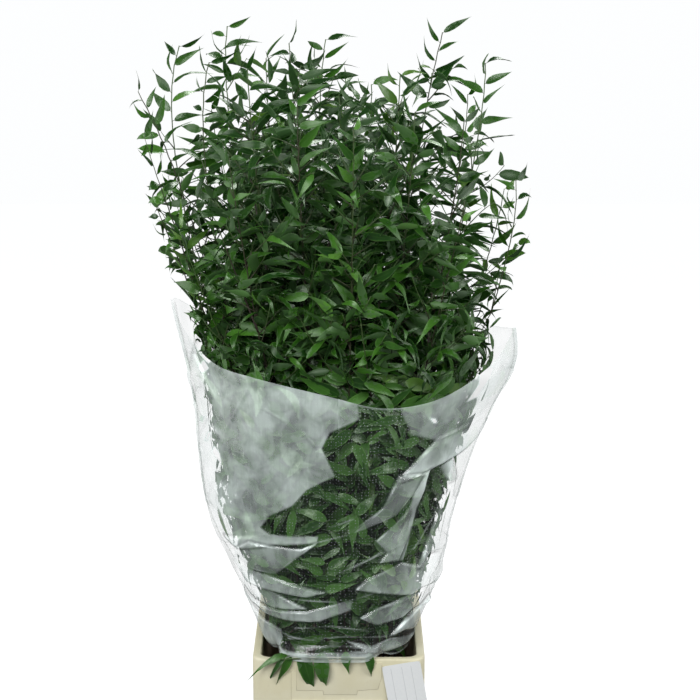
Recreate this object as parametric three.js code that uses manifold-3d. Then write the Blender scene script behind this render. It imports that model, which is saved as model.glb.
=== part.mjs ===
// A bunch of alexandrian laurel branches in a clear film sleeve, standing in a moulded plastic bucket.
// Millimetres, +Z up, +X right, the front faces -Y. The origin is the middle of the bucket's underside.
import * as THREE from 'three';
import { mergeVertices } from 'three/addons/utils/BufferGeometryUtils.js';
import Module from 'manifold-3d';

const wasm = await Module();
wasm.setup();

// Bucket
const bucketWidth = 236;
const bucketDepth = 340;
const bucketHeight = 245;
const rimBand = 11;
const wall = 3;
const floorThick = 3.5;
const collarHeight = 95;
const skirtThick = 2.6;
const bodyInset = 7.5;
const footInset = 15;
const cornerRadius = 20;
const leastCornerRadius = 6;
const rimLipHeight = 12;
const tongueThick = 1.5;
const padThick = 2.5;
const padSunk = 1;

// Film sleeve
const filmThick = 0.9;
const filmColumns = 30;
const filmRows = 7;
const filmCrease = 2.5;

// Branches
const floorGap = 0.3;
const stemFootRadius = 2.6;
const stemTipRadius = 1.1;
const stemSegments = 6;
const shootRadius = 1.2;
const stemSpread = { footX: 0.26, footY: 0.42, throatX: 0.3, throatY: 0.5 };
const throatHeight = 380;
const leafyFrom = 268;
const bareTip = 115;
const leafStep = 15;
const firstLeafAt = 12;
const bareShootEnd = 8;
const mostPairs = 4;
const tipLeaves = 4;
const tipLeafStep = 26;
const firstTipLeafAt = 21;
const shootStep = 30;
const shootEvery = 5;
const shootJitter = 12;
const shootLength = { least: 45, perStem: 0.42, most: 118, inSleeve: 0.75, inSleeveBelow: 450 };
const shootLean = { least: 38, range: 16 };
const shootCurve = { slows: 0.15, rises: 0.22 };
const shootTurn = { perBranch: 1.7, perShoot: 2.4, perTry: 0.9 };
const shootTries = 7;
const leafLength = 42;
const leafSlimness = 0.32;
const leafOpening = { least: 34, range: 26, perTry: 9 };
const leafRoll = { range: 1.4, perTry: 0.35 };
const leafTries = 8;
const leafCup = 0.08;
const bladeHalfThick = 0.75;
const bladeHighAt = 0.27;
const bladeSunk = 0.1;
const clearance = 1.2;
const filmClearance = 7;

// Label
const labelWidth = 53;
const labelLength = 95;
const labelThick = 0.6;
const labelTurn = 10;

// Half-widths of the sleeve by height: to the left, to the right, to the front and to the back, then
// the roundness of its sides and of its front and back. Low down it is a rounded rectangle, and at the
// top the two side seams pull it into a pointed eye.
const sleeveRows = [
  { z: 245, left: 103, right: 103, front: 165, back: 165, side: 3.8, face: 3.8 },
  { z: 300, left: 127, right: 126, front: 178, back: 176, side: 3.2, face: 3.2 },
  { z: 345, left: 152, right: 146, front: 186, back: 184, side: 2.8, face: 2.8 },
  { z: 400, left: 180, right: 159, front: 190, back: 190, side: 2.5, face: 2.4 },
  { z: 500, left: 198, right: 189, front: 200, back: 204, side: 2.2, face: 2.1 },
  { z: 560, left: 201, right: 214, front: 203, back: 210, side: 2.1, face: 1.9 },
  { z: 630, left: 214, right: 244, front: 201, back: 212, side: 2, face: 1.7 },
  { z: 680, left: 226, right: 242, front: 198, back: 210, side: 2, face: 1.55 },
  { z: 715, left: 232, right: 236, front: 196, back: 208, side: 2, face: 1.5 },
];
// Height of the sleeve's top edge and of its hem by direction, in degrees from +X. Its front dips.
const sleeveEdges = [
  { turn: 0, top: 672, hem: 245.6 },
  { turn: 25, top: 660, hem: 245.4 },
  { turn: 60, top: 645, hem: 245.3 },
  { turn: 100, top: 640, hem: 245.3 },
  { turn: 140, top: 662, hem: 245.3 },
  { turn: 180, top: 712, hem: 245.6 },
  { turn: 200, top: 678, hem: 246 },
  { turn: 222, top: 646, hem: 250 },
  { turn: 240, top: 639, hem: 256 },
  { turn: 266, top: 622, hem: 256 },
  { turn: 284, top: 604, hem: 254 },
  { turn: 300, top: 606, hem: 246 },
  { turn: 328, top: 641, hem: 245.4 },
  { turn: 345, top: 666, hem: 245.4 },
  { turn: 360, top: 672, hem: 245.6 },
];

// Each stem's tip and the point that its upper half leans towards.
const stems = [
  { tip: [-224, 90, 1058], bend: [-290, 70, 880] },
  { tip: [-174, -40, 1044], bend: [-225, -35, 860] },
  { tip: [-160, 150, 1082], bend: [-185, 130, 930] },
  { tip: [-68, 20, 1066], bend: [-50, 20, 800] },
  { tip: [-20, 170, 1062], bend: [-52, 150, 830] },
  { tip: [0, -110, 1006], bend: [45, -95, 800] },
  { tip: [-278, 20, 1000], bend: [-190, 15, 860] },
  { tip: [-262, -105, 950], bend: [-195, -85, 780] },
  { tip: [-264, 118, 872], bend: [-172, 84, 715] },
  { tip: [-250, -45, 850], bend: [-185, -35, 700] },
  { tip: [-215, -150, 832], bend: [-150, -110, 690] },
  { tip: [146, 100, 1076], bend: [88, 85, 850] },
  { tip: [200, 0, 1040], bend: [205, 0, 900] },
  { tip: [238, -75, 890], bend: [258, -65, 760] },
  { tip: [83, -30, 1026], bend: [75, -25, 790] },
  { tip: [47, 190, 996], bend: [45, 165, 770] },
  { tip: [-110, 215, 1032], bend: [-98, 185, 790] },
  { tip: [-119, -110, 1040], bend: [-110, -95, 800] },
  { tip: [-52, -185, 1000], bend: [-50, -165, 760] },
  { tip: [20, -220, 972], bend: [20, -195, 740] },
  { tip: [99, -170, 990], bend: [90, -150, 750] },
  { tip: [166, -105, 972], bend: [150, -90, 750] },
  { tip: [190, 165, 984], bend: [165, 140, 760] },
  { tip: [-192, 185, 960], bend: [-145, 140, 760] },
  { tip: [-140, -200, 934], bend: [-115, -165, 720] },
  { tip: [236, 90, 856], bend: [205, 78, 680] },
  { tip: [165, -180, 876], bend: [130, -140, 700] },
  { tip: [8, 75, 975], bend: [8, 60, 760] },
];

// The leaves that hang over the front rim: where each starts, where its tip ends, and its width.
const rimLeaves = [
  { from: -72, to: -112, low: 213, width: 12 },
  { from: -78, to: -84, low: 207, width: 6 },
  { from: -60, to: -72, low: 203, width: 12 },
  { from: -52, to: -34, low: 190, width: 19 },
  { from: -22, to: -17, low: 199, width: 17 },
  { from: 12, to: 14, low: 228, width: 10 },
  { from: 43, to: 45, low: 219, width: 9 },
];

const colours = { bucket: 0xe0d8ba, film: 0xdfe6e4, leaf: 0x2f5a2a, label: 0xf3f4f4 };
const up = new THREE.Vector3(0, 0, 1);
const vec = (x, y, z) => new THREE.Vector3(x, y, z);
const mix = (a, b, share) => a + (b - a) * share;
const degrees = Math.PI / 180;

// A number from 0 to 1 that depends only on its three whole numbers.
function draw(a, b, c) {
  const wave = Math.sin(a * 127.1 + b * 311.7 + c * 74.7 + 11.5) * 43758.5453;
  return wave - Math.floor(wave);
}

// Reads a table of rows at a value of its key, straight between rows.
function readRow(rows, key, value) {
  const last = rows.length - 1;
  const held = Math.min(Math.max(value, rows[0][key]), rows[last][key]);
  const next = Math.max(1, rows.findIndex((row) => row[key] >= held));
  const share = (held - rows[next - 1][key]) / (rows[next][key] - rows[next - 1][key]);
  const result = {};
  for (const name of Object.keys(rows[0])) result[name] = mix(rows[next - 1][name], rows[next][name], share);
  return result;
}

function geometryOf(points, faces) {
  const geometry = new THREE.BufferGeometry();
  const numbers = points.flatMap((p) => [p.x, p.y, p.z]);
  geometry.setAttribute('position', new THREE.Float32BufferAttribute(numbers, 3));
  geometry.setIndex(faces.flat());
  return geometry;
}

// Skins a stack of rings of equal length and closes both ends with a fan. Rings run counter-clockwise
// seen against the direction in which they are stacked.
function loft(rings) {
  const count = rings[0].length;
  const points = rings.flat();
  const faces = [];
  for (let ring = 0; ring + 1 < rings.length; ring += 1) {
    for (let i = 0; i < count; i += 1) {
      const a = ring * count + i;
      const b = ring * count + ((i + 1) % count);
      faces.push([a, b, b + count], [a, b + count, a + count]);
    }
  }
  const top = (rings.length - 1) * count;
  for (let i = 1; i + 1 < count; i += 1) {
    faces.push([0, i + 1, i], [top, top + i, top + i + 1]);
  }
  return geometryOf(points, faces);
}

function solidOf(geometry) {
  const plain = geometry.clone();
  plain.deleteAttribute('normal');
  plain.deleteAttribute('uv');
  const merged = mergeVertices(plain, 1e-4);
  return new wasm.Manifold(new wasm.Mesh({
    numProp: 3,
    vertProperties: Float32Array.from(merged.attributes.position.array),
    triVerts: Uint32Array.from(merged.index.array),
  }));
}

function geometryFrom(solid) {
  const mesh = solid.getMesh();
  const geometry = new THREE.BufferGeometry();
  geometry.setAttribute('position', new THREE.Float32BufferAttribute(mesh.vertProperties, 3));
  geometry.setIndex(Array.from(mesh.triVerts));
  return geometry;
}

// Joins solids into one body. A hollow that they seal between them is filled.
function fused(solids) {
  const bodies = solids.reduce((whole, solid) => whole.add(solid)).decompose();
  bodies.sort((a, b) => b.volume() - a.volume());
  return geometryFrom(bodies[0]);
}

// Bucket

function roundedRing(halfX, halfY, radius, z) {
  const steps = 3;
  const ring = [];
  for (let corner = 0; corner < 4; corner += 1) {
    const sideX = corner === 0 || corner === 3 ? 1 : -1;
    const sideY = corner < 2 ? 1 : -1;
    for (let i = 0; i <= steps; i += 1) {
      const angle = (corner + i / steps) * 90 * degrees;
      const x = sideX * (halfX - radius) + radius * Math.cos(angle);
      const y = sideY * (halfY - radius) + radius * Math.sin(angle);
      ring.push(vec(x, y, z));
    }
  }
  return ring;
}

function bucketRing(inset, z) {
  const radius = Math.max(leastCornerRadius, cornerRadius - inset * 0.5);
  return roundedRing(bucketWidth / 2 - inset, bucketDepth / 2 - inset, radius, z);
}

// A flat outline on the bucket's front, raised by thick and sunk a little into the skirt.
function frontPad(outline, thick) {
  const shape = new THREE.Shape(outline.map(([x, z]) => new THREE.Vector2(x, z)));
  const pad = new THREE.ExtrudeGeometry(shape, { depth: thick + padSunk, bevelEnabled: false });
  pad.rotateX(90 * degrees);
  pad.translate(0, -bucketDepth / 2 + padSunk, 0);
  return solidOf(pad);
}

function makeBucket() {
  const skirtFoot = bucketHeight - collarHeight;
  const shell = solidOf(loft([
    bucketRing(footInset + 2, 0),
    bucketRing(footInset, 3),
    bucketRing(bodyInset, bucketHeight - 1),
    bucketRing(bodyInset, bucketHeight - 0.5),
  ]));
  const collar = solidOf(loft([
    bucketRing(0.6, skirtFoot),
    bucketRing(0, skirtFoot + 2),
    bucketRing(0, bucketHeight - 1.5),
    bucketRing(1, bucketHeight),
  ]));
  const underCollar = solidOf(loft([
    bucketRing(skirtThick, skirtFoot - 1),
    bucketRing(skirtThick, bucketHeight - wall),
  ]));
  const cavity = solidOf(loft([
    bucketRing(footInset + wall, floorThick),
    bucketRing(rimBand, bucketHeight - rimLipHeight),
    bucketRing(rimBand, bucketHeight + 1),
  ]));
  const tongue = frontPad([
    [-58, 200], [-22, 200], [-21, 194], [25, 194], [26, 200], [54, 202], [59, 220], [59, 240], [-58, 240],
  ], tongueThick);
  const pad = frontPad([
    [-68, 152], [64, 152], [64, 182], [60, 187], [-64, 187], [-68, 182],
  ], padThick);
  return geometryFrom(collar.subtract(underCollar).add(tongue).add(pad).add(shell).subtract(cavity));
}

// Film sleeve

function sleeveAt(z, inset) {
  const row = readRow(sleeveRows, 'z', z);
  return {
    left: row.left - inset,
    right: row.right - inset,
    front: row.front - inset,
    back: row.back - inset,
    side: row.side,
    face: row.face,
  };
}

// How far out a point lies: below 1 it is inside the sleeve's section at its height.
function reachIn(section, x, y) {
  const across = Math.abs(x) / (x < 0 ? section.left : section.right);
  const along = Math.abs(y) / (y < 0 ? section.front : section.back);
  return across ** section.side + along ** section.face;
}

function sleevePoint(column, share, inset) {
  const angle = (column / filmColumns) * 360;
  const edges = readRow(sleeveEdges, 'turn', angle);
  const z = mix(edges.hem, edges.top, share);
  const section = sleeveAt(z, inset);
  const c = Math.cos(angle * degrees);
  const s = Math.sin(angle * degrees);
  const x = Math.sign(c) * (c < 0 ? section.left : section.right) * Math.abs(c) ** (2 / section.side);
  const y = Math.sign(s) * (s < 0 ? section.front : section.back) * Math.abs(s) ** (2 / section.face);
  const crease = filmCrease * (draw(column, Math.round(share * 100), 5) - 0.7) * Math.sin(share * Math.PI);
  const scale = 1 + crease / section.front;
  return vec(x * scale, y * scale, z);
}

function makeSleeve() {
  const points = [];
  const faces = [];
  const rows = filmRows + 1;
  for (const inset of [0, filmThick]) {
    for (let row = 0; row < rows; row += 1) {
      for (let column = 0; column < filmColumns; column += 1) {
        points.push(sleevePoint(column, row / filmRows, inset));
      }
    }
  }
  const at = (layer, row, column) => (layer * rows + row) * filmColumns + (column % filmColumns);
  const quad = (a, b, c, d) => faces.push([a, b, c], [a, c, d]);
  for (let column = 0; column < filmColumns; column += 1) {
    for (let row = 0; row < filmRows; row += 1) {
      quad(at(0, row, column), at(0, row, column + 1), at(0, row + 1, column + 1), at(0, row + 1, column));
      quad(at(1, row, column), at(1, row + 1, column), at(1, row + 1, column + 1), at(1, row, column + 1));
    }
    const next = column + 1;
    quad(at(0, filmRows, column), at(0, filmRows, next), at(1, filmRows, next), at(1, filmRows, column));
    quad(at(0, 0, next), at(0, 0, column), at(1, 0, column), at(1, 0, next));
  }
  return geometryOf(points, faces);
}

// What is taken: balls along every stem, shoot and blade, kept by cell, each with its branch's number.
// Branches stay clear of each other, and the outer part of a blade also of its own branch.

const cellSize = 24;
const taken = new Map();
const cellOf = (p) => [p.x, p.y, p.z].map((value) => Math.floor(value / cellSize));

function take(balls, branch) {
  for (const ball of balls) {
    const key = cellOf(ball.at).join();
    if (!taken.has(key)) taken.set(key, []);
    taken.get(key).push({ ...ball, branch });
  }
}

function ballIsFree(ball, branch) {
  const [i, j, k] = cellOf(ball.at);
  for (let a = i - 1; a <= i + 1; a += 1) {
    for (let b = j - 1; b <= j + 1; b += 1) {
      for (let c = k - 1; c <= k + 1; c += 1) {
        for (const other of taken.get([a, b, c].join()) ?? []) {
          const apart = other.at.distanceTo(ball.at) - other.radius - ball.radius;
          if (other.branch !== branch && apart < clearance) return false;
          if (other.branch === branch && ball.outer && apart < 0) return false;
        }
      }
    }
  }
  return true;
}

// Inside the sleeve's walls up to its top edge, and above that anywhere.
function clearsSleeve(ball) {
  const turn = (Math.atan2(ball.at.y, ball.at.x) / degrees + 360) % 360;
  const edge = readRow(sleeveEdges, 'turn', turn);
  if (ball.at.z > edge.top + ball.radius + filmClearance) return true;
  return reachIn(sleeveAt(ball.at.z, ball.radius + filmClearance), ball.at.x, ball.at.y) < 1;
}

const isFree = (balls, branch) => balls.every((ball) => clearsSleeve(ball) && ballIsFree(ball, branch));

// Branches

// A tube along points, with a radius at each of them.
function tube(points, radii, sides) {
  const rings = points.map((point, i) => {
    const next = points[Math.min(i + 1, points.length - 1)];
    const ahead = next.clone().sub(points[Math.max(i - 1, 0)]).normalize();
    const across = vec(1, 0.2, 0).cross(ahead).normalize();
    const over = ahead.clone().cross(across);
    return Array.from({ length: sides }, (_, side) => {
      const angle = (side / sides) * 2 * Math.PI;
      return point.clone()
        .addScaledVector(across, radii[i] * Math.cos(angle))
        .addScaledVector(over, radii[i] * Math.sin(angle));
    });
  });
  return loft(rings);
}

// A straight-sided path through points, read by the distance along it.
function pathOf(points) {
  const marks = [0];
  for (let i = 1; i < points.length; i += 1) marks.push(marks[i - 1] + points[i].distanceTo(points[i - 1]));
  const length = marks[marks.length - 1];
  const legAt = (run) => Math.max(1, marks.findIndex((mark) => mark >= Math.min(run, length)));
  const at = (run) => {
    const leg = legAt(run);
    const share = (run - marks[leg - 1]) / (marks[leg] - marks[leg - 1]);
    return points[leg - 1].clone().lerp(points[leg], share);
  };
  const ahead = (run) => points[legAt(run)].clone().sub(points[legAt(run) - 1]).normalize();
  return { points, length, at, ahead };
}

function stemPath(stem) {
  const tip = vec(...stem.tip);
  const bend = vec(...stem.bend);
  const { footX, footY, throatX, throatY } = stemSpread;
  const foot = vec(tip.x * footX, tip.y * footY, floorThick + floorGap);
  const throat = vec(tip.x * throatX, tip.y * throatY, throatHeight);
  return pathOf(new THREE.CubicBezierCurve3(foot, throat, bend, tip).getSpacedPoints(stemSegments));
}

// The direction at right angles to ahead that lies nearest to wanted.
function squared(wanted, ahead) {
  return wanted.clone().addScaledVector(ahead, -wanted.dot(ahead)).normalize();
}

// A side shoot leaves its stem at an angle and curves up.
function shootOf(branch, index, origin, ahead, toTip, tries) {
  const { perBranch, perShoot, perTry } = shootTurn;
  const turn = branch * perBranch + index * perShoot + tries * perTry;
  const side = squared(vec(Math.cos(turn), Math.sin(turn), 0.05), ahead);
  const lean = (shootLean.least + shootLean.range * draw(branch, index, 1)) * degrees;
  const start = ahead.clone().multiplyScalar(Math.cos(lean)).addScaledVector(side, Math.sin(lean));
  const { least, perStem, most, inSleeve, inSleeveBelow } = shootLength;
  const full = Math.min(least + perStem * (toTip - bareTip), most) * (0.75 + 0.45 * draw(branch, index, 2));
  const length = origin.z < inSleeveBelow ? full * inSleeve : full;
  const pointAt = (run) => origin.clone()
    .addScaledVector(start, run * (1 - (shootCurve.slows * run) / length))
    .addScaledVector(up, (shootCurve.rises * run * run) / length);
  return pathOf([0, 0.5, 1].map((share) => pointAt(share * length)));
}

// A leaf's root, direction, face and size, on the side of its shoot that its index gives.
function leafOf(key, index, root, ahead, shrink, tries) {
  const [branch, shoot] = key;
  const salt = shoot * 31 + index;
  const sway = draw(branch, shoot, 3) * 2 * Math.PI;
  const face = squared(vec(0.7 * Math.cos(sway), 0.7 * Math.sin(sway), 1), ahead);
  const side = ahead.clone().cross(face).multiplyScalar(index % 2 === 0 ? 1 : -1);
  const { least, range, perTry } = leafOpening;
  const open = (least + range * draw(branch, salt, 4) + tries * perTry) * degrees;
  const run = ahead.clone().multiplyScalar(Math.cos(open)).addScaledVector(side, Math.sin(open));
  const lift = (draw(branch, salt, 5) - 0.6) * 0.5;
  const direction = run.addScaledVector(face, lift).normalize();
  const roll = (draw(branch, salt, 6) - 0.5) * leafRoll.range + tries * leafRoll.perTry;
  const length = leafLength * shrink * (0.76 + 0.5 * draw(branch, salt, 7));
  const width = length * leafSlimness * (0.85 + 0.35 * draw(branch, salt, 8));
  const droop = 0.06 + 0.14 * draw(branch, salt, 9);
  const normal = squared(face, direction).applyAxisAngle(direction, roll);
  return { root, direction, normal, length, width, droop };
}

// Share of the length, share of the half-width.
const bladeStations = [[0.28, 0.96], [0.68, 0.62]];

function bladePoint(leaf, run, out, over) {
  const side = leaf.direction.clone().cross(leaf.normal);
  const fall = leaf.droop * leaf.length * (run * run);
  return leaf.root.clone()
    .addScaledVector(leaf.direction, run * leaf.length)
    .addScaledVector(side, (out * leaf.width) / 2)
    .addScaledVector(leaf.normal, over + Math.abs(out) * leaf.width * leafCup - fall);
}

// A lens-shaped blade: its outline is joined to one high point on each face. Its root is in the shoot.
function bladeSolid(leaf) {
  const outline = [bladePoint(leaf, -bladeSunk / leaf.length, 0, 0)];
  for (const [run, out] of bladeStations) outline.push(bladePoint(leaf, run, out, 0));
  outline.push(bladePoint(leaf, 1, 0, 0));
  for (const [run, out] of [...bladeStations].reverse()) outline.push(bladePoint(leaf, run, -out, 0));
  const highs = [bladeHalfThick, -bladeHalfThick].map((over) => bladePoint(leaf, bladeHighAt, 0, over));
  const faces = [];
  for (let here = 0; here < outline.length; here += 1) {
    const next = (here + 1) % outline.length;
    faces.push([outline.length, here, next], [outline.length + 1, next, here]);
  }
  return solidOf(geometryOf([...outline, ...highs], faces));
}

function bladeBalls(leaf) {
  const stations = [[0.12, 0.5], [0.25, 0.8], [0.4, 1], [0.55, 0.9], [0.7, 0.62], [0.85, 0.35], [1, 0.1]];
  return stations.map(([run, out]) => ({
    at: bladePoint(leaf, run, 0, 0),
    radius: (leaf.width / 2) * out * 0.9 + bladeHalfThick,
    outer: run > 0.35,
  }));
}

function tubeBalls(path, radius) {
  const balls = [];
  for (let run = 0; run <= path.length; run += 4) balls.push({ at: path.at(run), radius });
  return balls;
}

// Adds the leaf in the first of a few attitudes that is clear of the other branches and of the film.
function addLeaf(solids, key, index, root, ahead, shrink) {
  for (let tries = 0; tries < leafTries; tries += 1) {
    const leaf = leafOf(key, index, root, ahead, shrink, tries);
    const balls = bladeBalls(leaf);
    if (isFree(balls, key[0])) {
      take(balls, key[0]);
      solids.push(bladeSolid(leaf));
      return;
    }
  }
}

function addShoot(solids, branch, index, origin, ahead, toTip) {
  for (let tries = 0; tries < shootTries; tries += 1) {
    const shoot = shootOf(branch, index, origin, ahead, toTip, tries);
    const tail = tubeBalls(shoot, shootRadius).slice(2);
    if (isFree(tail, branch)) {
      take(tail, branch);
      solids.push(solidOf(tube(shoot.points, [0.7, 1, 0.75].map((share) => share * shootRadius), 3)));
      const leaves = Math.floor((shoot.length - bareShootEnd) / leafStep);
      for (let i = 1; i < Math.min(leaves, mostPairs); i += 2) {
        const run = firstLeafAt + i * leafStep;
        addLeaf(solids, [branch, index], i, shoot.at(run), shoot.ahead(run), 1);
      }
      const end = shoot.length - 1;
      addLeaf(solids, [branch, index], leaves, shoot.at(end), shoot.ahead(end), 0.95);
      return;
    }
  }
}

function stemSolid(path) {
  const radii = path.points.map((_, i) => mix(stemFootRadius, stemTipRadius, i / stemSegments));
  return solidOf(tube(path.points, radii, 4));
}

function makeBranch(branch) {
  const { length: total, at, ahead } = stemPaths[branch];
  const solids = [stemSolid(stemPaths[branch])];
  const shoots = Math.floor((total - bareTip - leafyFrom) / shootStep);
  for (let i = branch % 4; i < shoots; i += shootEvery) {
    const run = leafyFrom + i * shootStep + shootJitter * (draw(branch, i, 0) - 0.5);
    addShoot(solids, branch, i, at(run), ahead(run), total - run);
  }
  for (let i = 0; i < tipLeaves; i += 1) {
    const run = total - bareTip + firstTipLeafAt + i * tipLeafStep;
    addLeaf(solids, [branch, 99], i, at(run), ahead(run), mix(0.875, 0.675, i / tipLeaves));
  }
  addLeaf(solids, [branch, 99], tipLeaves, at(total - 1), ahead(total - 1), 0.72);
  return fused(solids);
}

// Low sprig

function makeSprig() {
  const rimOver = bucketHeight + 4;
  const front = -bucketDepth / 2 - 5.5;
  const rise = new THREE.CatmullRomCurve3([
    vec(-40, -96, floorThick + floorGap), vec(-46, -130, 150), vec(-49, -146, 222),
    vec(-49, -151, rimOver - 4), vec(-49, -157, rimOver), vec(-49, -166, rimOver + 0.8),
    vec(-48, front, rimOver),
  ]);
  const along = (from, to) => [vec(from, front, rimOver - 0.5), vec(to, front, rimOver - 1.5)];
  const solids = [
    solidOf(tube(rise.getPoints(9), Array(10).fill(1.6), 4)),
    solidOf(tube(along(-44, -80), [1.5, 1.2], 3)),
    solidOf(tube(along(-50, 46), [1.5, 1.2], 3)),
  ];
  for (const { from, to, low, width } of rimLeaves) {
    const root = vec(from, front, rimOver - 1);
    const end = vec(to, front - 5, low);
    const direction = end.clone().sub(root);
    const length = direction.length();
    direction.normalize();
    const normal = squared(vec(0, -1, 0), direction);
    solids.push(bladeSolid({ root, direction, normal, length, width, droop: 0.02 }));
  }
  return fused(solids);
}

// Assembly

const laurel = new THREE.Group();

function add(name, geometry, colour, roughness) {
  const material = new THREE.MeshStandardMaterial({ color: colour, roughness, metalness: 0 });
  const mesh = new THREE.Mesh(geometry, material);
  mesh.name = name;
  laurel.add(mesh);
  return mesh;
}

const stemPaths = stems.map(stemPath);
stemPaths.forEach((path, branch) => take(tubeBalls(path, stemFootRadius), branch));

add('bucket', makeBucket(), colours.bucket, 0.55);
add('sleeve', makeSleeve(), colours.film, 0.2);
for (let branch = 0; branch < stems.length; branch += 1) {
  add(`branch_${String(branch + 1).padStart(2, '0')}`, makeBranch(branch), colours.leaf, 0.4);
}
add('low_sprig', makeSprig(), colours.leaf, 0.4);

const label = add('label', new THREE.BoxGeometry(labelWidth, labelThick, labelLength), colours.label, 0.6);
label.position.set(93, -bucketDepth / 2 - tongueThick - floorGap - labelThick / 2, bucketHeight - 52);
label.rotation.y = -labelTurn * degrees;

export default laurel;
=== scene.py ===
# A bunch of fresh alexandrian laurel in a clear film sleeve and a plastic bucket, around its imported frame.
# Shapes are worked out in millimetres and turned into metres where a mesh is made.
import math
import bpy
import numpy as np
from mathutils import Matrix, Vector, noise


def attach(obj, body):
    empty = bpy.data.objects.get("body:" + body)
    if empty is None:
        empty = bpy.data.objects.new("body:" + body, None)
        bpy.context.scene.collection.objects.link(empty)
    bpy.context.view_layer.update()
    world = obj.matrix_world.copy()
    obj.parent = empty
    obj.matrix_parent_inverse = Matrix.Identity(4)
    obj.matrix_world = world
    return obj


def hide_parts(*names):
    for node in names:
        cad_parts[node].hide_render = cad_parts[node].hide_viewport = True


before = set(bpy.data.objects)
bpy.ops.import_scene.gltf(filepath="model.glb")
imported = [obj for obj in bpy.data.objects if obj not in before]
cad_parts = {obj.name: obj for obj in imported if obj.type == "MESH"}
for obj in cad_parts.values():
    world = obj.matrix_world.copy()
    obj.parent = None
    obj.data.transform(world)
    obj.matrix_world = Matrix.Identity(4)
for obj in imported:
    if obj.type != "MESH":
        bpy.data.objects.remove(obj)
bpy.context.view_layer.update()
metres = 0.001
print("frame loaded:", len(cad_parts), "nodes")


def mix(a, b, share):
    return a + (b - a) * share


def eased(low, high, value):
    share = np.clip((value - low) / (high - low), 0, 1)
    return share * share * (3 - 2 * share)


def unit(v):
    v = np.asarray(v, float)
    return v / np.linalg.norm(v, axis=-1, keepdims=True)


def squared(wanted, ahead):  # the direction at right angles to ahead that lies nearest to wanted
    wanted = np.asarray(wanted, float)
    return unit(wanted - (wanted * ahead).sum(-1, keepdims=True) * ahead)


def turned(v, axis, angle):  # v turned about axis, which is at right angles to it
    return v * np.cos(angle) + np.cross(axis, v) * np.sin(angle)


def draw(a, b, c):  # a number from 0 to 1 that depends only on its three whole numbers
    wave = np.sin(a * 127.1 + b * 311.7 + c * 74.7 + 11.5) * 43758.5453
    return wave - np.floor(wave)


def varied(span, *keys):  # span holds the least value and how much chance adds to it
    return span[0] + span[1] * draw(*keys)


def curveThrough(xs, ys, x):  # a smooth curve through a table's points
    xs, ys = np.asarray(xs, float), np.asarray(ys, float)
    slopes = np.gradient(ys, xs)
    x = np.clip(x, xs[0], xs[-1])
    i = np.clip(np.searchsorted(xs, x) - 1, 0, len(xs) - 2)
    wide = xs[i + 1] - xs[i]
    t = (x - xs[i]) / wide
    return (
        (2 * t**3 - 3 * t**2 + 1) * ys[i] + (t**3 - 2 * t**2 + t) * wide * slopes[i]
        + (3 * t**2 - 2 * t**3) * ys[i + 1] + (t**3 - t**2) * wide * slopes[i + 1]
    )


# A shader socket that can stand in a sum.
class Wire:
    def __init__(self, finish, socket):
        self.finish, self.socket = finish, socket

    def __add__(self, other):
        return self.finish.sum("ADD", self, other)

    def __sub__(self, other):
        return self.finish.sum("SUBTRACT", self, other)

    def __rsub__(self, other):
        return self.finish.sum("SUBTRACT", other, self)

    def __mul__(self, other):
        return self.finish.sum("MULTIPLY", self, other)

    def __pow__(self, other):
        return self.finish.sum("POWER", self, other)

    def __rpow__(self, other):
        return self.finish.sum("POWER", other, self)

    __radd__, __rmul__ = __add__, __mul__


# A material or the world, with the few ways in which this script adds nodes to it.
class Finish:
    def __init__(self, owner):
        owner.use_nodes = True
        self.owner, self.tree = owner, owner.node_tree
        self.tree.nodes.clear()

    def node(self, kind, settings=None, sockets=None):
        made = self.tree.nodes.new("ShaderNode" + kind)
        for name, value in (settings or {}).items():
            setattr(made, name, value)
        for name, value in (sockets or {}).items():
            socket = made.inputs[name]
            if isinstance(value, Wire):
                self.tree.links.new(value.socket, socket)
            else:
                socket.default_value = (*value, 1) if socket.type == "RGBA" else value
        return made

    def wire(self, kind, settings=None, sockets=None, output=0):
        return Wire(self, self.node(kind, settings, sockets).outputs[output])

    def sum(self, operation, a, b=0.0):
        return self.wire("Math", {"operation": operation}, {0: a, 1: b})

    def held(self, value, low, high):  # eased from 0 at low to 1 at high
        settings = {"interpolation_type": "SMOOTHSTEP"}
        return self.wire("MapRange", settings, {"Value": value, "From Min": low, "From Max": high})

    def colour(self, factor, a, b):
        return self.wire("Mix", {"data_type": "RGBA"}, {0: factor, 6: a, 7: b}, 2)

    def attribute(self, name):
        return self.wire("Attribute", {"attribute_name": name}, None, 2)

    def parts(self, vector):  # the x, y and z of a vector
        node = self.node("SeparateXYZ", None, {0: vector})
        return [Wire(self, out) for out in node.outputs]

    def place(self):
        return self.wire("TexCoord", None, None, 3)

    def scaled(self, vector, by):
        return self.wire("VectorMath", {"operation": "MULTIPLY"}, {0: vector, 1: by})

    def grain(self, scale, detail=2.0, vector=None, rough=0.5):
        sockets = {"Scale": scale, "Detail": detail, "Roughness": rough}
        sockets["Vector"] = self.place() if vector is None else vector
        return self.wire("TexNoise", None, sockets)

    def bump(self, height, strength, distance):
        return self.wire("Bump", None, {"Height": height, "Strength": strength, "Distance": distance})

    def principled(self, sockets):
        return self.wire("BsdfPrincipled", None, sockets)

    def mixed(self, factor, a, b):
        return self.wire("MixShader", None, {0: factor, 1: a, 2: b})

    def finished(self, shader, kind="OutputMaterial"):
        self.node(kind, None, {"Surface": shader})
        return self.owner


# Camera, floor and lights

view = {
    "target": (15.4, 0, 640),
    "away": 2810,
    "pitch": 12.2,
    "focal": 2000 / 700,  # the focal length in widths of the picture
    "sensor": 36,
}


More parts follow.
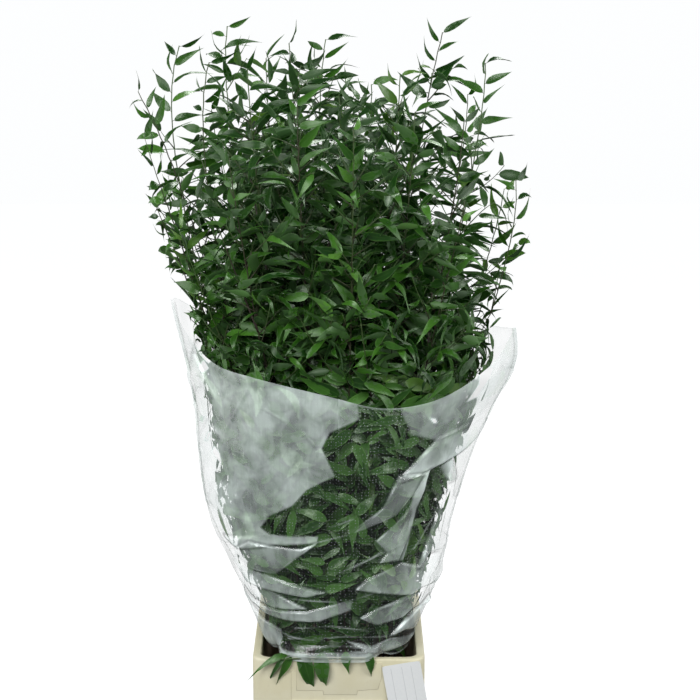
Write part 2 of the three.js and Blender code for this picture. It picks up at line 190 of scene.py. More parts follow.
def makeCamera():
    camera = bpy.data.objects.new("camera", bpy.data.cameras.new("camera"))
    camera.data.sensor_width = view["sensor"]
    camera.data.lens = view["sensor"] * view["focal"]
    pitch = math.radians(view["pitch"])
    back = Vector((0, -math.cos(pitch), math.sin(pitch)))
    camera.location = (Vector(view["target"]) + back * view["away"]) * metres
    camera.rotation_euler = (math.pi / 2 - pitch, 0, 0)
    camera.data.clip_end = 100
    bpy.context.scene.collection.objects.link(camera)
    bpy.context.scene.camera = camera


studio = {
    "surround": 0.16,  # how much light comes from all round
    "white": (0.985, 0.995, 1.0),
    "floor": 12.0,
    "floorGlow": 0.97,
    "paper": ((0.11, 0.11, 0.11), (0.13, 0.13, 0.13)),
    "bounces": {"max_bounces": 8, "diffuse_bounces": 3, "transparent_max_bounces": 16},
    "lamps": [  # place, what it points at and size, all in metres, and watts
        {"at": (-1.25, -2.45, 2.35), "to": (0, 0, 0.6), "size": (2.0, 1.6), "watts": 84},
        {"at": (2.3, -1.7, 1.7), "to": (0, 0, 0.6), "size": (1.2, 1.8), "watts": 38},
        {"at": (0.3, 1.7, 2.9), "to": (0, 0, 1.0), "size": (1.6, 0.8), "watts": 56},
        {"at": (-2.4, 0.2, 1.0), "to": (0, 0, 0.6), "size": (2.2, 2.2), "watts": 26},
        {"at": (2.4, 0.2, 1.0), "to": (0, 0, 0.6), "size": (2.2, 2.2), "watts": 22},
    ],
}


def makeStudio():
    world = bpy.data.worlds.new("studio")
    sky = Finish(world)
    seen = sky.wire("LightPath")
    dim = sky.wire("Background", None, {"Color": studio["white"], "Strength": studio["surround"]})
    white = sky.wire("Background", None, {"Color": studio["white"], "Strength": 1.0})
    sky.finished(sky.mixed(seen, dim, white), "OutputWorld")
    bpy.context.scene.world = world
    for number, lamp in enumerate(studio["lamps"]):
        data = bpy.data.lights.new(f"softbox_{number}", "AREA")
        data.shape, data.energy = "RECTANGLE", lamp["watts"]
        data.size, data.size_y = lamp["size"]
        box = bpy.data.objects.new(data.name, data)
        box.location = lamp["at"]
        box.rotation_euler = (Vector(lamp["to"]) - box.location).to_track_quat("-Z", "Y").to_euler()
        bpy.context.scene.collection.objects.link(box)
    bpy.ops.mesh.primitive_plane_add(size=studio["floor"])
    floor = bpy.context.object
    floor.name = "floor"
    paper = Finish(bpy.data.materials.new("studio_floor"))
    sockets = {"Base Color": paper.colour(paper.grain(1.5), *studio["paper"]), "Roughness": 0.7,
               "Emission Color": studio["white"], "Emission Strength": studio["floorGlow"]}
    floor.data.materials.append(paper.finished(paper.principled(sockets)))
    floor.visible_diffuse = floor.visible_glossy = False
    scene = bpy.context.scene
    scene.view_settings.view_transform = "Standard"
    for name, bounces in studio["bounces"].items():
        setattr(scene.cycles, name, bounces)


makeCamera()
makeStudio()
print("camera and studio made")


# Meshes

sharpAngle = math.radians(40)  # on the moulded and the cut pieces, edges that bend more than this are sharp


def meshOf(name, points, corners, sizes, pointValues=None, faceValues=None, uvs=None, slots=None):
    # points in millimetres; corners is one flat list of vertex numbers, and sizes the corners of each face
    mesh = bpy.data.meshes.new(name)
    mesh.vertices.add(len(points))
    mesh.vertices.foreach_set("co", (np.asarray(points) * metres).astype(np.float32).ravel())
    mesh.loops.add(len(corners))
    mesh.loops.foreach_set("vertex_index", np.asarray(corners, np.int32))
    mesh.polygons.add(len(sizes))
    starts = np.concatenate([[0], np.cumsum(sizes)[:-1]])
    mesh.polygons.foreach_set("loop_start", starts.astype(np.int32))
    mesh.update(calc_edges=True)
    mesh.polygons.foreach_set("use_smooth", np.ones(len(sizes), bool))
    for domain, table in (("POINT", pointValues), ("FACE", faceValues)):
        for layer, values in (table or {}).items():
            data = mesh.attributes.new(layer, "FLOAT", domain).data
            data.foreach_set("value", np.asarray(values, np.float32))
    for layer, values in (uvs or {}).items():
        mesh.uv_layers.new(name=layer).uv.foreach_set("vector", np.asarray(values, np.float32).ravel())
    if slots is not None:
        mesh.polygons.foreach_set("material_index", np.asarray(slots, np.int32))
    mesh.update()
    piece = bpy.data.objects.new(name, mesh)
    bpy.context.scene.collection.objects.link(piece)
    return piece


def ringQuads(bands, sides, first=0):  # the faces between rings of points that follow one another
    starts = first + np.arange(bands)[:, None] * sides
    a, b = starts + np.arange(sides), starts + (np.arange(sides) + 1) % sides
    return np.stack([a, b, b + sides, a + sides], -1).reshape(-1, 4)


def flattened(faces):  # all their vertex numbers in one list, and how many each face has
    return [corner for face in faces for corner in face], [len(face) for face in faces]


# The sleeve's form: half-widths by height, the roundness of its sides and of its front and back, and the
# height of its hem and its top edge by direction in degrees from +X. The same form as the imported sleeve's.

sleeve = {
    "z": (245, 300, 345, 400, 500, 560, 630, 680, 715),
    "left": (103, 127, 152, 180, 198, 201, 214, 226, 232),
    "right": (103, 126, 146, 159, 189, 214, 244, 242, 236),
    "front": (165, 178, 186, 190, 200, 203, 201, 198, 196),
    "back": (165, 176, 184, 190, 204, 210, 212, 210, 208),
    "side": (3.8, 3.2, 2.8, 2.5, 2.2, 2.1, 2, 2, 2),
    "face": (3.8, 3.2, 2.8, 2.4, 2.1, 1.9, 1.7, 1.55, 1.5),
    "turn": (0, 25, 60, 100, 140, 180, 200, 222, 240, 266, 284, 300, 328, 345, 360),
    "top": (672, 660, 645, 640, 662, 712, 678, 646, 639, 622, 604, 606, 641, 666, 672),
    "hem": (245.6, 245.4, 245.3, 245.3, 245.3, 245.6, 246, 250, 256, 256, 254, 246, 245.4, 245.4, 245.6),
    "apron": 13,  # how far the hem stands out over the rim in front
    "apronHem": 243.5,
    "apronFrom": (228, 244),  # directions between which it begins, and between which it ends
    "apronTo": (276, 292),
    "columns": 440,
    "rows": 220,
    "seamFin": 4,
    "seamWidth": 0.9,  # to each side, in degrees
    "meanTop": 640,
    "darkWithin": 0.42,  # how far out from the middle most leaves are missing, and their share
    "darkBare": 0.75,
    "pressedFrom": 0.66,  # leaves farther out than this lie against the film
    "leafInset": 4,
    "leafLayers": 16,
    "woodDepth": 12.0,
    "freeBelow": 150,  # stems below this height aren't pressed in
    "knee": 0.86,
}
crown = {  # how far the foliage reaches above the sleeve
    "z": (560, 700, 815, 921, 1030, 1110),
    "left": (232, 226, 262, 286, 304, 300),
    "right": (232, 236, 272, 270, 250, 240),
    "front": (215, 222, 232, 238, 238, 230),
    "back": (215, 222, 232, 236, 234, 226),
    "round": 2.3,
    "knee": 0.9,
    "full": 0.95,  # shoots are shortened until their tips come no nearer to 1 than this
    "middle": -10,
    "looseAbove": 650,
    "looseBeside": (85, 190),  # how far off the middle some shoots are left out, and nearly all
    "loose": 0.98,
}


def sectionAt(z):
    return {name: curveThrough(sleeve["z"], sleeve[name], z)
            for name in ("left", "right", "front", "back", "side", "face")}


def reachIn(x, y, z, inset):  # below 1 inside the sleeve, and 1 on it
    section = sectionAt(z)
    across = np.abs(x) / (np.where(x < 0, section["left"], section["right"]) - inset)
    along = np.abs(y) / (np.where(y < 0, section["front"], section["back"]) - inset)
    return (across ** section["side"] + along ** section["face"]) ** (2 / (section["side"] + section["face"]))


def sleevePlace(turn, z):
    section = sectionAt(z)
    c, s = np.cos(np.radians(turn)), np.sin(np.radians(turn))
    x = np.sign(c) * np.where(c < 0, section["left"], section["right"]) * np.abs(c) ** (2 / section["side"])
    y = np.sign(s) * np.where(s < 0, section["front"], section["back"]) * np.abs(s) ** (2 / section["face"])
    return x, y


def edgeHeight(edge, turn):
    return curveThrough(sleeve["turn"], sleeve[edge], turn % 360)


def pulledIn(reach, knee):  # the scale that keeps what comes near 1, or goes past it, just below 1
    held = np.where(reach > knee, knee + (1 - knee) * (1 - np.exp(-(reach - knee) / (1 - knee))), reach)
    return held / np.maximum(reach, 1e-6)


def crownReach(points):  # below 1 within the crown
    x, y, z = np.asarray(points).T
    left, right, front, back = (
        np.interp(z, crown["z"], crown[side]) for side in ("left", "right", "front", "back"))
    across, along = np.abs(x) / np.where(x < 0, left, right), np.abs(y) / np.where(y < 0, front, back)
    return (across ** crown["round"] + along ** crown["round"]) ** (1 / crown["round"])


def pressedIn(points, depth):  # foliage below the sleeve's top edge is held inside it, depth from the film
    x, y, z = points.T
    below = 1 - eased(-5, 45, z - edgeHeight("top", np.degrees(np.arctan2(y, x))))
    held = pulledIn(reachIn(x, y, z, sleeve["leafInset"] + depth), sleeve["knee"])
    scale = mix(1, held, below * (z > sleeve["freeBelow"]))
    scale = scale * mix(pulledIn(crownReach(points), crown["knee"]), 1, below)
    return np.stack([x * scale, y * scale, z], -1)


def loose(branch, index, place):  # towards its sides the crown has fewer shoots
    beside = eased(*crown["looseBeside"], abs(place[0] - crown["middle"]))
    return place[2] > crown["looseAbove"] and draw(branch, index, 70) < crown["loose"] * beside


# Foliage

branches = {  # each stem's tip and the point that its upper half leans towards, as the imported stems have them
    "stems": [
        ((-224, 90, 1058), (-290, 70, 880)), ((-174, -40, 1044), (-225, -35, 860)),
        ((-160, 150, 1082), (-185, 130, 930)), ((-68, 20, 1066), (-50, 20, 800)),
        ((-20, 170, 1062), (-52, 150, 830)), ((0, -110, 1006), (45, -95, 800)),
        ((-278, 20, 1000), (-190, 15, 860)), ((-262, -105, 950), (-195, -85, 780)),
        ((-264, 118, 872), (-172, 84, 715)), ((-250, -45, 850), (-185, -35, 700)),
        ((-215, -150, 832), (-150, -110, 690)), ((146, 100, 1076), (88, 85, 850)),
        ((200, 0, 1040), (205, 0, 900)), ((238, -75, 890), (258, -65, 760)),
        ((83, -30, 1026), (75, -25, 790)), ((47, 190, 996), (45, 165, 770)),
        ((-110, 215, 1032), (-98, 185, 790)), ((-119, -110, 1040), (-110, -95, 800)),
        ((-52, -185, 1000), (-50, -165, 760)), ((20, -220, 972), (20, -195, 740)),
        ((99, -170, 990), (90, -150, 750)), ((166, -105, 972), (150, -90, 750)),
        ((190, 165, 984), (165, 140, 760)), ((-192, 185, 960), (-145, 140, 760)),
        ((-140, -200, 934), (-115, -165, 720)), ((236, 90, 856), (205, 78, 680)),
        ((165, -180, 876), (130, -140, 700)), ((8, 75, 975), (8, 60, 760)),
    ],
    "footZ": 3.8,
    "throatZ": 380,
    "footRadius": 2.6,
    "tipRadius": 0.7,
    "taper": 0.42,
    "stemStep": 14,
    "stemSides": 8,
    "leafyFrom": 268,
    "shootStep": 30,
    "bareTip": 115,
    "sleevedRuns": (214, 600, 34),  # more shoots within the sleeve: from, to and every so far along the stem
    "topRuns": (350, 60, 42),  # more below the tip: from and to by the distance left, and every so far
    "jitter": 12,
    "leafStep": 15,
    "shootRadius": 0.95,
    "shootLean": (38, 26),  # here and in the next, the least and how much chance adds
    "shootLengths": (0.75, 0.45),
    "tipLeaves": 8,
    "tipShoot": 99,  # the number that the leaves of a stem's tip go by
    "limbShoots": (200, 260, 320),  # the same for the limbs, whose own shoots are numbered on from these
    "limbShootStep": 32,
}
blades = {  # where there are two numbers, the least and how much chance adds
    "length": 53,
    "lengths": (0.76, 0.44),
    "slimness": 0.238,
    "widths": (0.78, 0.45),
    "opening": (38, 40),
    "roll": 2.1,
    "droop": (0.06, 0.5),
    "sway": 0.5,
    "hook": 0.5,
    "twist": 2,
    "fold": (0.12, 0.4),
    "wave": 0.025,
    "stations": (0.05, 0.17, 0.34, 0.54, 0.74, 0.9),
    "base": 0.7,
    "point": 1.65,
    "stalk": 2.6,
    "stalkLengths": (0.6, 0.8),
    "stalkRadius": 0.4,
    "halfThick": 0.25,
    "sleeved": (1.08, 1.12),  # how much longer and wider the leaves in the sleeve are
    "darkest": 0.06,  # painted shade: the tone of the leaves farthest in, and the reaches between which it rises
    "litBetween": (0.48, 0.92),
    "dimmed": 0.76,  # painted shade: the tone that the sleeve leaves, and the heights between which that ends
    "dimBetween": (560, 720),
    "youngShare": 0.07,
}
bake = {  # how the unwrapped faces share the square: leaves in cells below, and the wood in strips above
    "margin": 0.03,
    "leaves": 0.88,
    "wood": 0.885,
    "woodHigh": 0.11,
}
inRow = {  # where each value stands in a leaf's row
    "root": slice(0, 3), "direction": slice(3, 6), "normal": slice(6, 9),
    "length": 9, "width": 10, "droop": 11, "seed": 12, "young": 13, "bow": 14,
}
up = np.array([0, 0, 1.0])


# A curve that is read by the distance along it.
class Path:
    def __init__(self, points):
        self.points = np.asarray(points, float)
        steps = np.linalg.norm(np.diff(self.points, axis=0), axis=1)
        self.marks = np.concatenate([[0], np.cumsum(steps)])
        self.length = self.marks[-1]

    def at(self, run):
        return np.stack([np.interp(run, self.marks, self.points[:, k]) for k in range(3)], -1)

    def ahead(self, run):
        return unit(self.at(np.minimum(run + 3, self.length)) - self.at(np.maximum(run - 3, 0)))


def tube(points, radii, sides):  # rings of points round a path
    ahead = unit(np.gradient(points, axis=0))
    across = unit(np.cross(np.array([1, 0.2, 0]), ahead))
    over = np.cross(ahead, across)
    angle = np.arange(sides) / sides * 2 * np.pi
    ring = across[:, None] * np.cos(angle)[None, :, None] + over[:, None] * np.sin(angle)[None, :, None]
    return points[:, None] + ring * np.asarray(radii)[:, None, None]


def stemPath(number):
    tip, bend = (np.array(p, float) for p in branches["stems"][number])
    foot = np.array([tip[0] * 0.26, tip[1] * 0.42, branches["footZ"]])
    throat = np.array([tip[0] * 0.3, tip[1] * 0.5, branches["throatZ"]])
    t = np.linspace(0, 1, 200)[:, None]
    curve = foot * (1 - t)**3 + throat * 3 * t * (1 - t)**2 + bend * 3 * t**2 * (1 - t) + tip * t**3
    return Path(curve)


# The leaves and the woody parts of one plant piece.
class Plant:
    def __init__(self):
        self.rows, self.tubes = [], []

    def leaf(self, branch, shoot, index, path, run, shrink, young=0.0):
        root, ahead = path.at(run), path.ahead(run)
        salt = shoot * 31 + index
        inside = root[2] < sleeve["meanTop"]
        depth = reachIn(*root, 0)
        if inside and depth < sleeve["darkWithin"] and draw(branch, salt, 2) < sleeve["darkBare"]:
            return
        sway = draw(branch, shoot, 3) * 2 * np.pi
        if shoot == branches["tipShoot"] or shoot in branches["limbShoots"]:  # most of these face the front
            sway = (draw(branch, shoot, 3) - 0.5) * 1.8 - np.pi / 2
        face = squared((0.7 * np.cos(sway), 0.7 * np.sin(sway), 1), ahead)
        side = np.cross(ahead, face) * (1 if index % 2 == 0 else -1)
        opening = np.radians(varied(blades["opening"], branch, salt, 4))
        way = ahead * np.cos(opening) + side * np.sin(opening)
        direction = unit(way + face * (draw(branch, salt, 5) - 0.62) * 0.85)
        roll = (draw(branch, salt, 6) - 0.5) * blades["roll"]
        length = blades["length"] * shrink * varied(blades["lengths"], branch, salt, 7)
        length *= blades["sleeved"][0] if inside else 1
        width = length * blades["slimness"] * varied(blades["widths"], branch, salt, 8)
        width *= blades["sleeved"][1] if inside else 1
        normal = turned(squared(face, direction), direction, roll)
        if inside and depth > sleeve["pressedFrom"]:
            out = unit((root[0], root[1], 0))
            direction = unit(direction - out * max(direction @ out, 0) * 0.85)
            normal = squared(normal * 0.5 + out * 1.2, direction)
        droop = varied(blades["droop"], branch, salt, 9)
        self.blade(root, direction, normal, length, width, droop, branch * 7919 + salt, young)

    def blade(self, root, direction, normal, length, width, droop, seed, young=0.0, bow=0.0):
        self.rows.append((*root, *direction, *normal, length, width, droop, seed, young, bow))

    def wood(self, points, thick, thin, sides, barks):  # barks: how brown it is at its foot and at its tip
        self.tubes.append((points, np.linspace(thick, thin, len(points)), sides, barks))


def bladeTemplate():
    # each point's share along and across, and its layer: 1 on the upper face, -1 on the lower, 0 at the rims
    u, v, layer = [0.0], [0.0], [0.0]
    for station in blades["stations"]:
        u += [station] * 4
        v += [-1, 0, 1, 0]
        layer += [0, 1, 0, -1]
    last, count = len(u), len(blades["stations"])
    u, v, layer = u + [1.0], v + [0.0], layer + [0.0]
    faces = ringQuads(count - 1, 4, 1).tolist()
    under = [False, False, True, True] * (count - 1)
    for i in range(4):
        j = (i + 1) % 4
        faces += [(0, 1 + j, 1 + i), (last, last - 4 + i, last - 4 + j)]
        under += [i > 1, i > 1]
    rim = np.zeros(last + 7, int)  # which rim a point lies on: 1 left, 2 right, 3 both
    rim[1:last:4], rim[3:last:4] = 1, 2
    rim[[0, last]] = 3
    a, b, c, d, e, f = range(last + 1, last + 7)  # the two ends of the stalk
    faces += [(a, d, e, b), (b, e, f, c), (c, f, d, a), (a, b, c), (f, e, d)]
    under += [False] * 5
    corners, sizes = (np.array(values) for values in flattened(faces))
    return np.array(u), np.array(v), np.array(layer), corners, sizes, np.array(under), rim


bladeU, bladeV, bladeLayer, bladeCorners, bladeSizes, bladeUnder, bladeRim = bladeTemplate()


def halfWidths(u):
    base, point = blades["base"], blades["point"]
    widest = base / (base + point)
    return (np.maximum(u, 1e-4) / widest) ** base * (np.maximum(1 - u, 0) / (1 - widest)) ** point


def bladePoints(rows):  # every point of every blade, and its stalk's
    root, direction, normal = (rows[:, None, inRow[name]] for name in ("root", "direction", "normal"))
    length, width, droop, seed, bow = (
        rows[:, inRow[name], None] for name in ("length", "width", "droop", "seed", "bow"))
    chance = [draw(seed, number, 31) for number in range(7)]
    side = np.cross(direction, normal)
    u, v, layer = bladeU[None], bladeV[None], bladeLayer[None]
    half = width / 2 * halfWidths(u)
    stalk = blades["stalk"] * varied(blades["stalkLengths"], seed, 0, 31)
    along = stalk + (length - stalk) * u
    share = along / length
    sweep = length * (blades["sway"] * (chance[1] - 0.5) + bow) * share**2
    hook = (chance[2] - 0.25) * blades["hook"] * length * eased(0.45, 1.2, share)
    fall = -droop * length * share**2 - hook
    twist = (chance[3] - 0.5) * blades["twist"] * share
    fold = varied(blades["fold"], seed, 4, 31)
    wave = blades["wave"] * length * chance[5] * np.sin(share * 8 + chance[6] * 6.3) * v
    lift = layer * blades["halfThick"] + fold * np.abs(v) * half + wave
    across = side * np.cos(twist)[..., None] + normal * np.sin(twist)[..., None]
    over = normal * np.cos(twist)[..., None] - side * np.sin(twist)[..., None]
    points = (root + direction * along[..., None] + side * sweep[..., None] + normal * fall[..., None]
              + across * (v * half)[..., None] + over * lift[..., None])
    angle = np.arange(3) / 3 * 2 * np.pi
    ring = side * np.cos(angle)[None, :, None] + normal * np.sin(angle)[None, :, None]
    start = root - direction * 0.6 + ring * blades["stalkRadius"] * 1.25
    end = points[:, :1] + direction * 1.4 + ring * blades["stalkRadius"] * 0.8 + normal * 0.1
    return np.concatenate([points, start, end], axis=1)


def bladeUvs(count):  # one map along and across a blade, and one with a cell for each blade's two faces
    margin = bake["margin"]
    flat = np.concatenate([np.stack([bladeU, bladeV / 2 + 0.5], -1), np.full((6, 2), 0.02)])
    local = flat[bladeCorners]
    outline = np.concatenate([bladeV * halfWidths(bladeU), np.zeros(6)])[bladeCorners] * 0.5 + 0.5
    lowest = np.where(np.repeat(bladeUnder, bladeSizes), margin, 0.5 + margin)
    tall = lowest + (0.5 - 2 * margin) * outline
    cell = np.stack([margin + (1 - 2 * margin) * local[:, 0], tall], -1)
    columns = max(1, int(math.sqrt(count / 2)))
    lines = -(-count // columns)
    number = np.arange(count)
    corner = np.stack([number % columns, number // columns], -1)
    packed = (corner[:, None] + cell[None]) / np.array([columns, lines / bake["leaves"]])
    return np.tile(local, (count, 1)), packed.reshape(-1, 2)


def leafPart(rows, free):  # all the leaves of a piece
    points = bladePoints(rows)
    count, each = points.shape[:2]
    points = points.reshape(-1, 3)
    seed, root = rows[:, inRow["seed"]], rows[:, inRow["root"]]
    if not free:
        points = pressedIn(points, np.repeat(sleeve["leafLayers"] * draw(seed, 1, 40), each))
    # painted shade: leaves farther in and lower in the sleeve get a darker tone, multiplied into their random
    # tone
    reach = np.where(root[:, 2] < sleeve["meanTop"], reachIn(*root.T, 0), crownReach(root))
    lit = mix(blades["darkest"], 1, eased(*blades["litBetween"], reach))
    lit *= mix(blades["dimmed"], 1, eased(*blades["dimBetween"], root[:, 2]))
    local, packed = bladeUvs(count)
    return {
        "points": points,
        "corners": (bladeCorners[None] + np.arange(count)[:, None] * each).ravel(),
        "sizes": np.tile(bladeSizes, count),
        "slots": np.tile(np.arange(len(bladeSizes)) >= len(bladeSizes) - 5, count),  # stalks are woody
        "under": np.tile(bladeUnder, count),
        "leafToneAndShade": np.repeat(draw(seed, 2, 41) * lit, each),
        "leafYoung": np.repeat(rows[:, inRow["young"]], each),
        "wood": np.full(len(points), 0.1),
        "OFBake": packed,
        "blade": local,
    }


def woodPart(line, radii, sides, barks, first, strip, free):  # one stem or shoot; its points count from first
    rings = tube(line, radii, sides)
    bands, points = len(rings) - 1, rings.reshape(-1, 3)
    quads = ringQuads(bands, sides, first)
    caps = first + np.concatenate([np.arange(sides)[::-1], bands * sides + np.arange(sides)])
    along = np.repeat(np.arange(bands), sides)[:, None] + np.array([0, 0, 1, 1])
    around = np.tile(np.arange(sides), bands)[:, None] + np.array([0, 1, 1, 0])
    local = np.stack([along / bands, around / sides], -1).reshape(-1, 2)
    capUv = np.tile([[0.001, 0.01]], (sides * 2, 1))
    bottom, height = strip
    corner = np.array([0.01, bottom])
    return {
        "points": points if free else pressedIn(points, np.full(len(points), sleeve["woodDepth"])),
        "corners": np.concatenate([quads.ravel(), caps]),
        "sizes": np.append(np.full(len(quads), 4), [sides, sides]),
        "slots": np.full(len(quads) + 2, True),
        "under": np.full(len(quads) + 2, False),
        "leafToneAndShade": np.full(len(points), 0.5),
        "leafYoung": np.zeros(len(points)),
        "wood": np.repeat(np.linspace(*barks, bands + 1), sides),
        "OFBake": np.concatenate([local * [0.98, height * 0.9] + corner, capUv + corner]),
        "blade": np.concatenate([local, capUv]),
    }


def sharpenRims(mesh, leafPoints):  # the edges along the two rims of each leaf
    ends = np.empty(len(mesh.edges) * 2, np.int32)
    mesh.edges.foreach_get("vertices", ends)
    ends = ends.reshape(-1, 2)
    rim = np.where(ends < leafPoints, bladeRim[ends % len(bladeRim)], 0)
    sharp = mesh.attributes.new("sharp_edge", "BOOLEAN", "EDGE")
    sharp.data.foreach_set("value", (rim[:, 0] & rim[:, 1]) > 0)
    mesh.update()


def plantPiece(name, node, plant, free=False):  # a free piece isn't held in by the sleeve
    parts = [leafPart(np.array(plant.rows), free)]
    leafPoints = first = len(parts[0]["points"])
    height = bake["woodHigh"] / len(plant.tubes)
    for number, (line, radii, sides, barks) in enumerate(plant.tubes):
        strip = bake["wood"] + number * height, height
        parts.append(woodPart(line, radii, sides, barks, first, strip, free))
        first += len(line) * sides
    whole = {key: np.concatenate([part[key] for part in parts]) for key in parts[0]}
    piece = meshOf(
        name, whole["points"], whole["corners"], whole["sizes"],
        pointValues={key: whole[key] for key in ("leafToneAndShade", "leafYoung", "wood")},
        faceValues={"under": whole["under"]},
        uvs={key: whole[key] for key in ("OFBake", "blade")},
        slots=whole["slots"],
    )
    sharpenRims(piece.data, leafPoints)
    piece.data.materials.append(finishes["leaf"])
    piece.data.materials.append(finishes["stem"])
    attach(piece, "root")
    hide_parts(node)
    counts["leaves"] += len(plant.rows)
    counts["triangles"] += int((whole["sizes"] - 2).sum())


def shootLine(origin, start, length, rise):
    run = np.linspace(0, length, max(5, int(length / 9)))[:, None]
    return origin + start * run * (1 - 0.15 * run / length) + up * rise * run**2 / length


def shootWithin(origin, start, length, rise, least, cut):  # shortened until its tip lies within the crown
    line = shootLine(origin, start, length, rise)
    while length > least and crownReach(line[-1:])[0] > crown["full"]:
        length *= cut
        line = shootLine(origin, start, length, rise)
    return Path(line)


def growShoot(plant, branch, index, parent, at, toTip):
    turn, ahead = branch * 1.7 + index * 2.4, parent.ahead(at)
    side = squared((np.cos(turn), np.sin(turn), 0.05), ahead)
    lean = np.radians(varied(branches["shootLean"], branch, index, 1))
    start = ahead * np.cos(lean) + side * np.sin(lean)
    length = min(45 + 0.42 * max(toTip - branches["bareTip"], 0), 118)
    length *= varied(branches["shootLengths"], branch, index, 2)
    origin = parent.at(at)
    length *= 0.75 if origin[2] < 450 else 1  # those low in the sleeve stay short
    rise = 0.26 - 0.5 * draw(branch, index, 19) ** 1.5
    shoot = shootWithin(origin, start, length, rise, 26, 0.85)
    young = 1.0 if draw(branch, index, 20) < blades["youngShare"] else 0.0
    count = int((shoot.length - 8) // branches["leafStep"])
    for i in range(count):
        late = i / count
        plant.leaf(branch, index, i, shoot, 12 + i * branches["leafStep"], 1 - 0.14 * late, young * late)
    plant.leaf(branch, index, count, shoot, shoot.length - 1, 0.92, young)
    thick = branches["shootRadius"]
    plant.wood(shoot.points, thick, thick * 0.5, 4, (0.5 - 0.4 * young, 0.1))


def growLimb(plant, branch, number, stem):  # a long side branch with leaves and short shoots of its own
    shoot, leafStep, step = branches["limbShoots"][number], branches["leafStep"], branches["limbShootStep"]
    begin = stem.length * mix(0.5, 0.76, draw(branch, number, 60))
    turn = 2 * np.pi * draw(branch, number, 61)
    out = squared((np.cos(turn), np.sin(turn), 0), stem.ahead(begin))
    start = unit(stem.ahead(begin) + out * mix(0.3, 0.75, draw(branch, number, 63)))
    reach = (stem.length - begin) * mix(0.5, 0.86, draw(branch, number, 62))
    rise = 0.12 - 0.3 * draw(branch, number, 64)
    limb = shootWithin(stem.at(begin), start, reach, rise, 60, 0.9)
    if loose(branch, shoot, limb.points[-1]):
        return
    for i in range(int((limb.length - 44) // leafStep)):
        plant.leaf(branch, shoot, i, limb, 36 + i * leafStep, 0.92)
    plant.leaf(branch, shoot, 40, limb, limb.length - 1, 0.8)
    for i in range(int((limb.length - 70) // step)):
        at = 40 + i * step
        growShoot(plant, branch, shoot + 1 + i, limb, at, (limb.length - at) * 0.7)
    plant.wood(limb.points, 1.5, 0.6, 5, (0.9, 0.25))


def growBranch(number):
    stem, plant = stemPath(number), Plant()
    total, bare, leafy, step = stem.length, branches["bareTip"], branches["leafyFrom"], branches["shootStep"]
    marks = np.linspace(0, total, int(total / branches["stemStep"]))
    radii = mix(branches["footRadius"], branches["tipRadius"], (marks / total) ** branches["taper"])
    zigzag = np.sin(marks / branches["leafStep"] * np.pi + number) * (marks > leafy)
    line = stem.at(marks) + zigzag[:, None] * np.array([0.5, 0.4, 0])
    plant.tubes.append((line, radii, branches["stemSides"], (0.8, 0.1 + 0.35 * draw(number, 0, 50))))
    for i in range(int((total - bare - leafy) // step)):
        run = leafy + i * step + branches["jitter"] * (draw(number, i, 0) - 0.5)
        growShoot(plant, number, i, stem, run, total - run)
    highFrom, highTo, highStep = branches["topRuns"]
    extra = [np.arange(leafy + step / 2, total - 45, step),
             np.arange(total - bare + step / 2, total - 40, step),
             np.arange(*branches["sleevedRuns"]),
             np.arange(total - highFrom, total - highTo, highStep)]
    for i, run in enumerate(np.concatenate(extra), 100):
        run += branches["jitter"] * (draw(number, i, 0) - 0.5)
        if not loose(number, i, stem.at(run)):
            growShoot(plant, number, i, stem, run, (total - run) * 0.85 + 70)
    for limb in range(len(branches["limbShoots"])):
        growLimb(plant, number, limb, stem)
    young = 0.8 if draw(number, 1, 51) < 0.2 else 0.0
    shoot, count = branches["tipShoot"], branches["tipLeaves"]
    for i in range(count):
        run = total - bare + 8 + i * (bare - 10) / count
        plant.leaf(number, shoot, i, stem, run, mix(0.98, 0.74, i / count), young * i / count)
    plant.leaf(number, shoot, count, stem, total - 1, 0.76, young)
    node = f"branch_{number + 1:02d}"
    plantPiece("laurel_" + node, node, plant)


leafColours = {
    "deep": (0.006, 0.042, 0.003),
    "full": (0.076, 0.235, 0.024),
    "mottled": (0.07, 0.24, 0.018),
    "pale": (0.13, 0.33, 0.045),
    "fresh": ((0.10, 0.24, 0.025), (0.17, 0.33, 0.05)),
    "rib": (0.09, 0.2, 0.045),
    # painted sheen along the leaf margins
    "rim": (0.15, 0.34, 0.07),
    "under": (0.06, 0.13, 0.045),
    # painted sheen of the film's veil on the leaves within the sleeve
    "sleeved": (0.09, 0.17, 0.07),
    "through": (0.11, 0.34, 0.02),
    "gleam": (0.87, 1, 0.83),
    "stem": ((0.035, 0.08, 0.016), (0.08, 0.15, 0.035)),
    "bark": ((0.014, 0.009, 0.007), (0.045, 0.028, 0.018)),
}


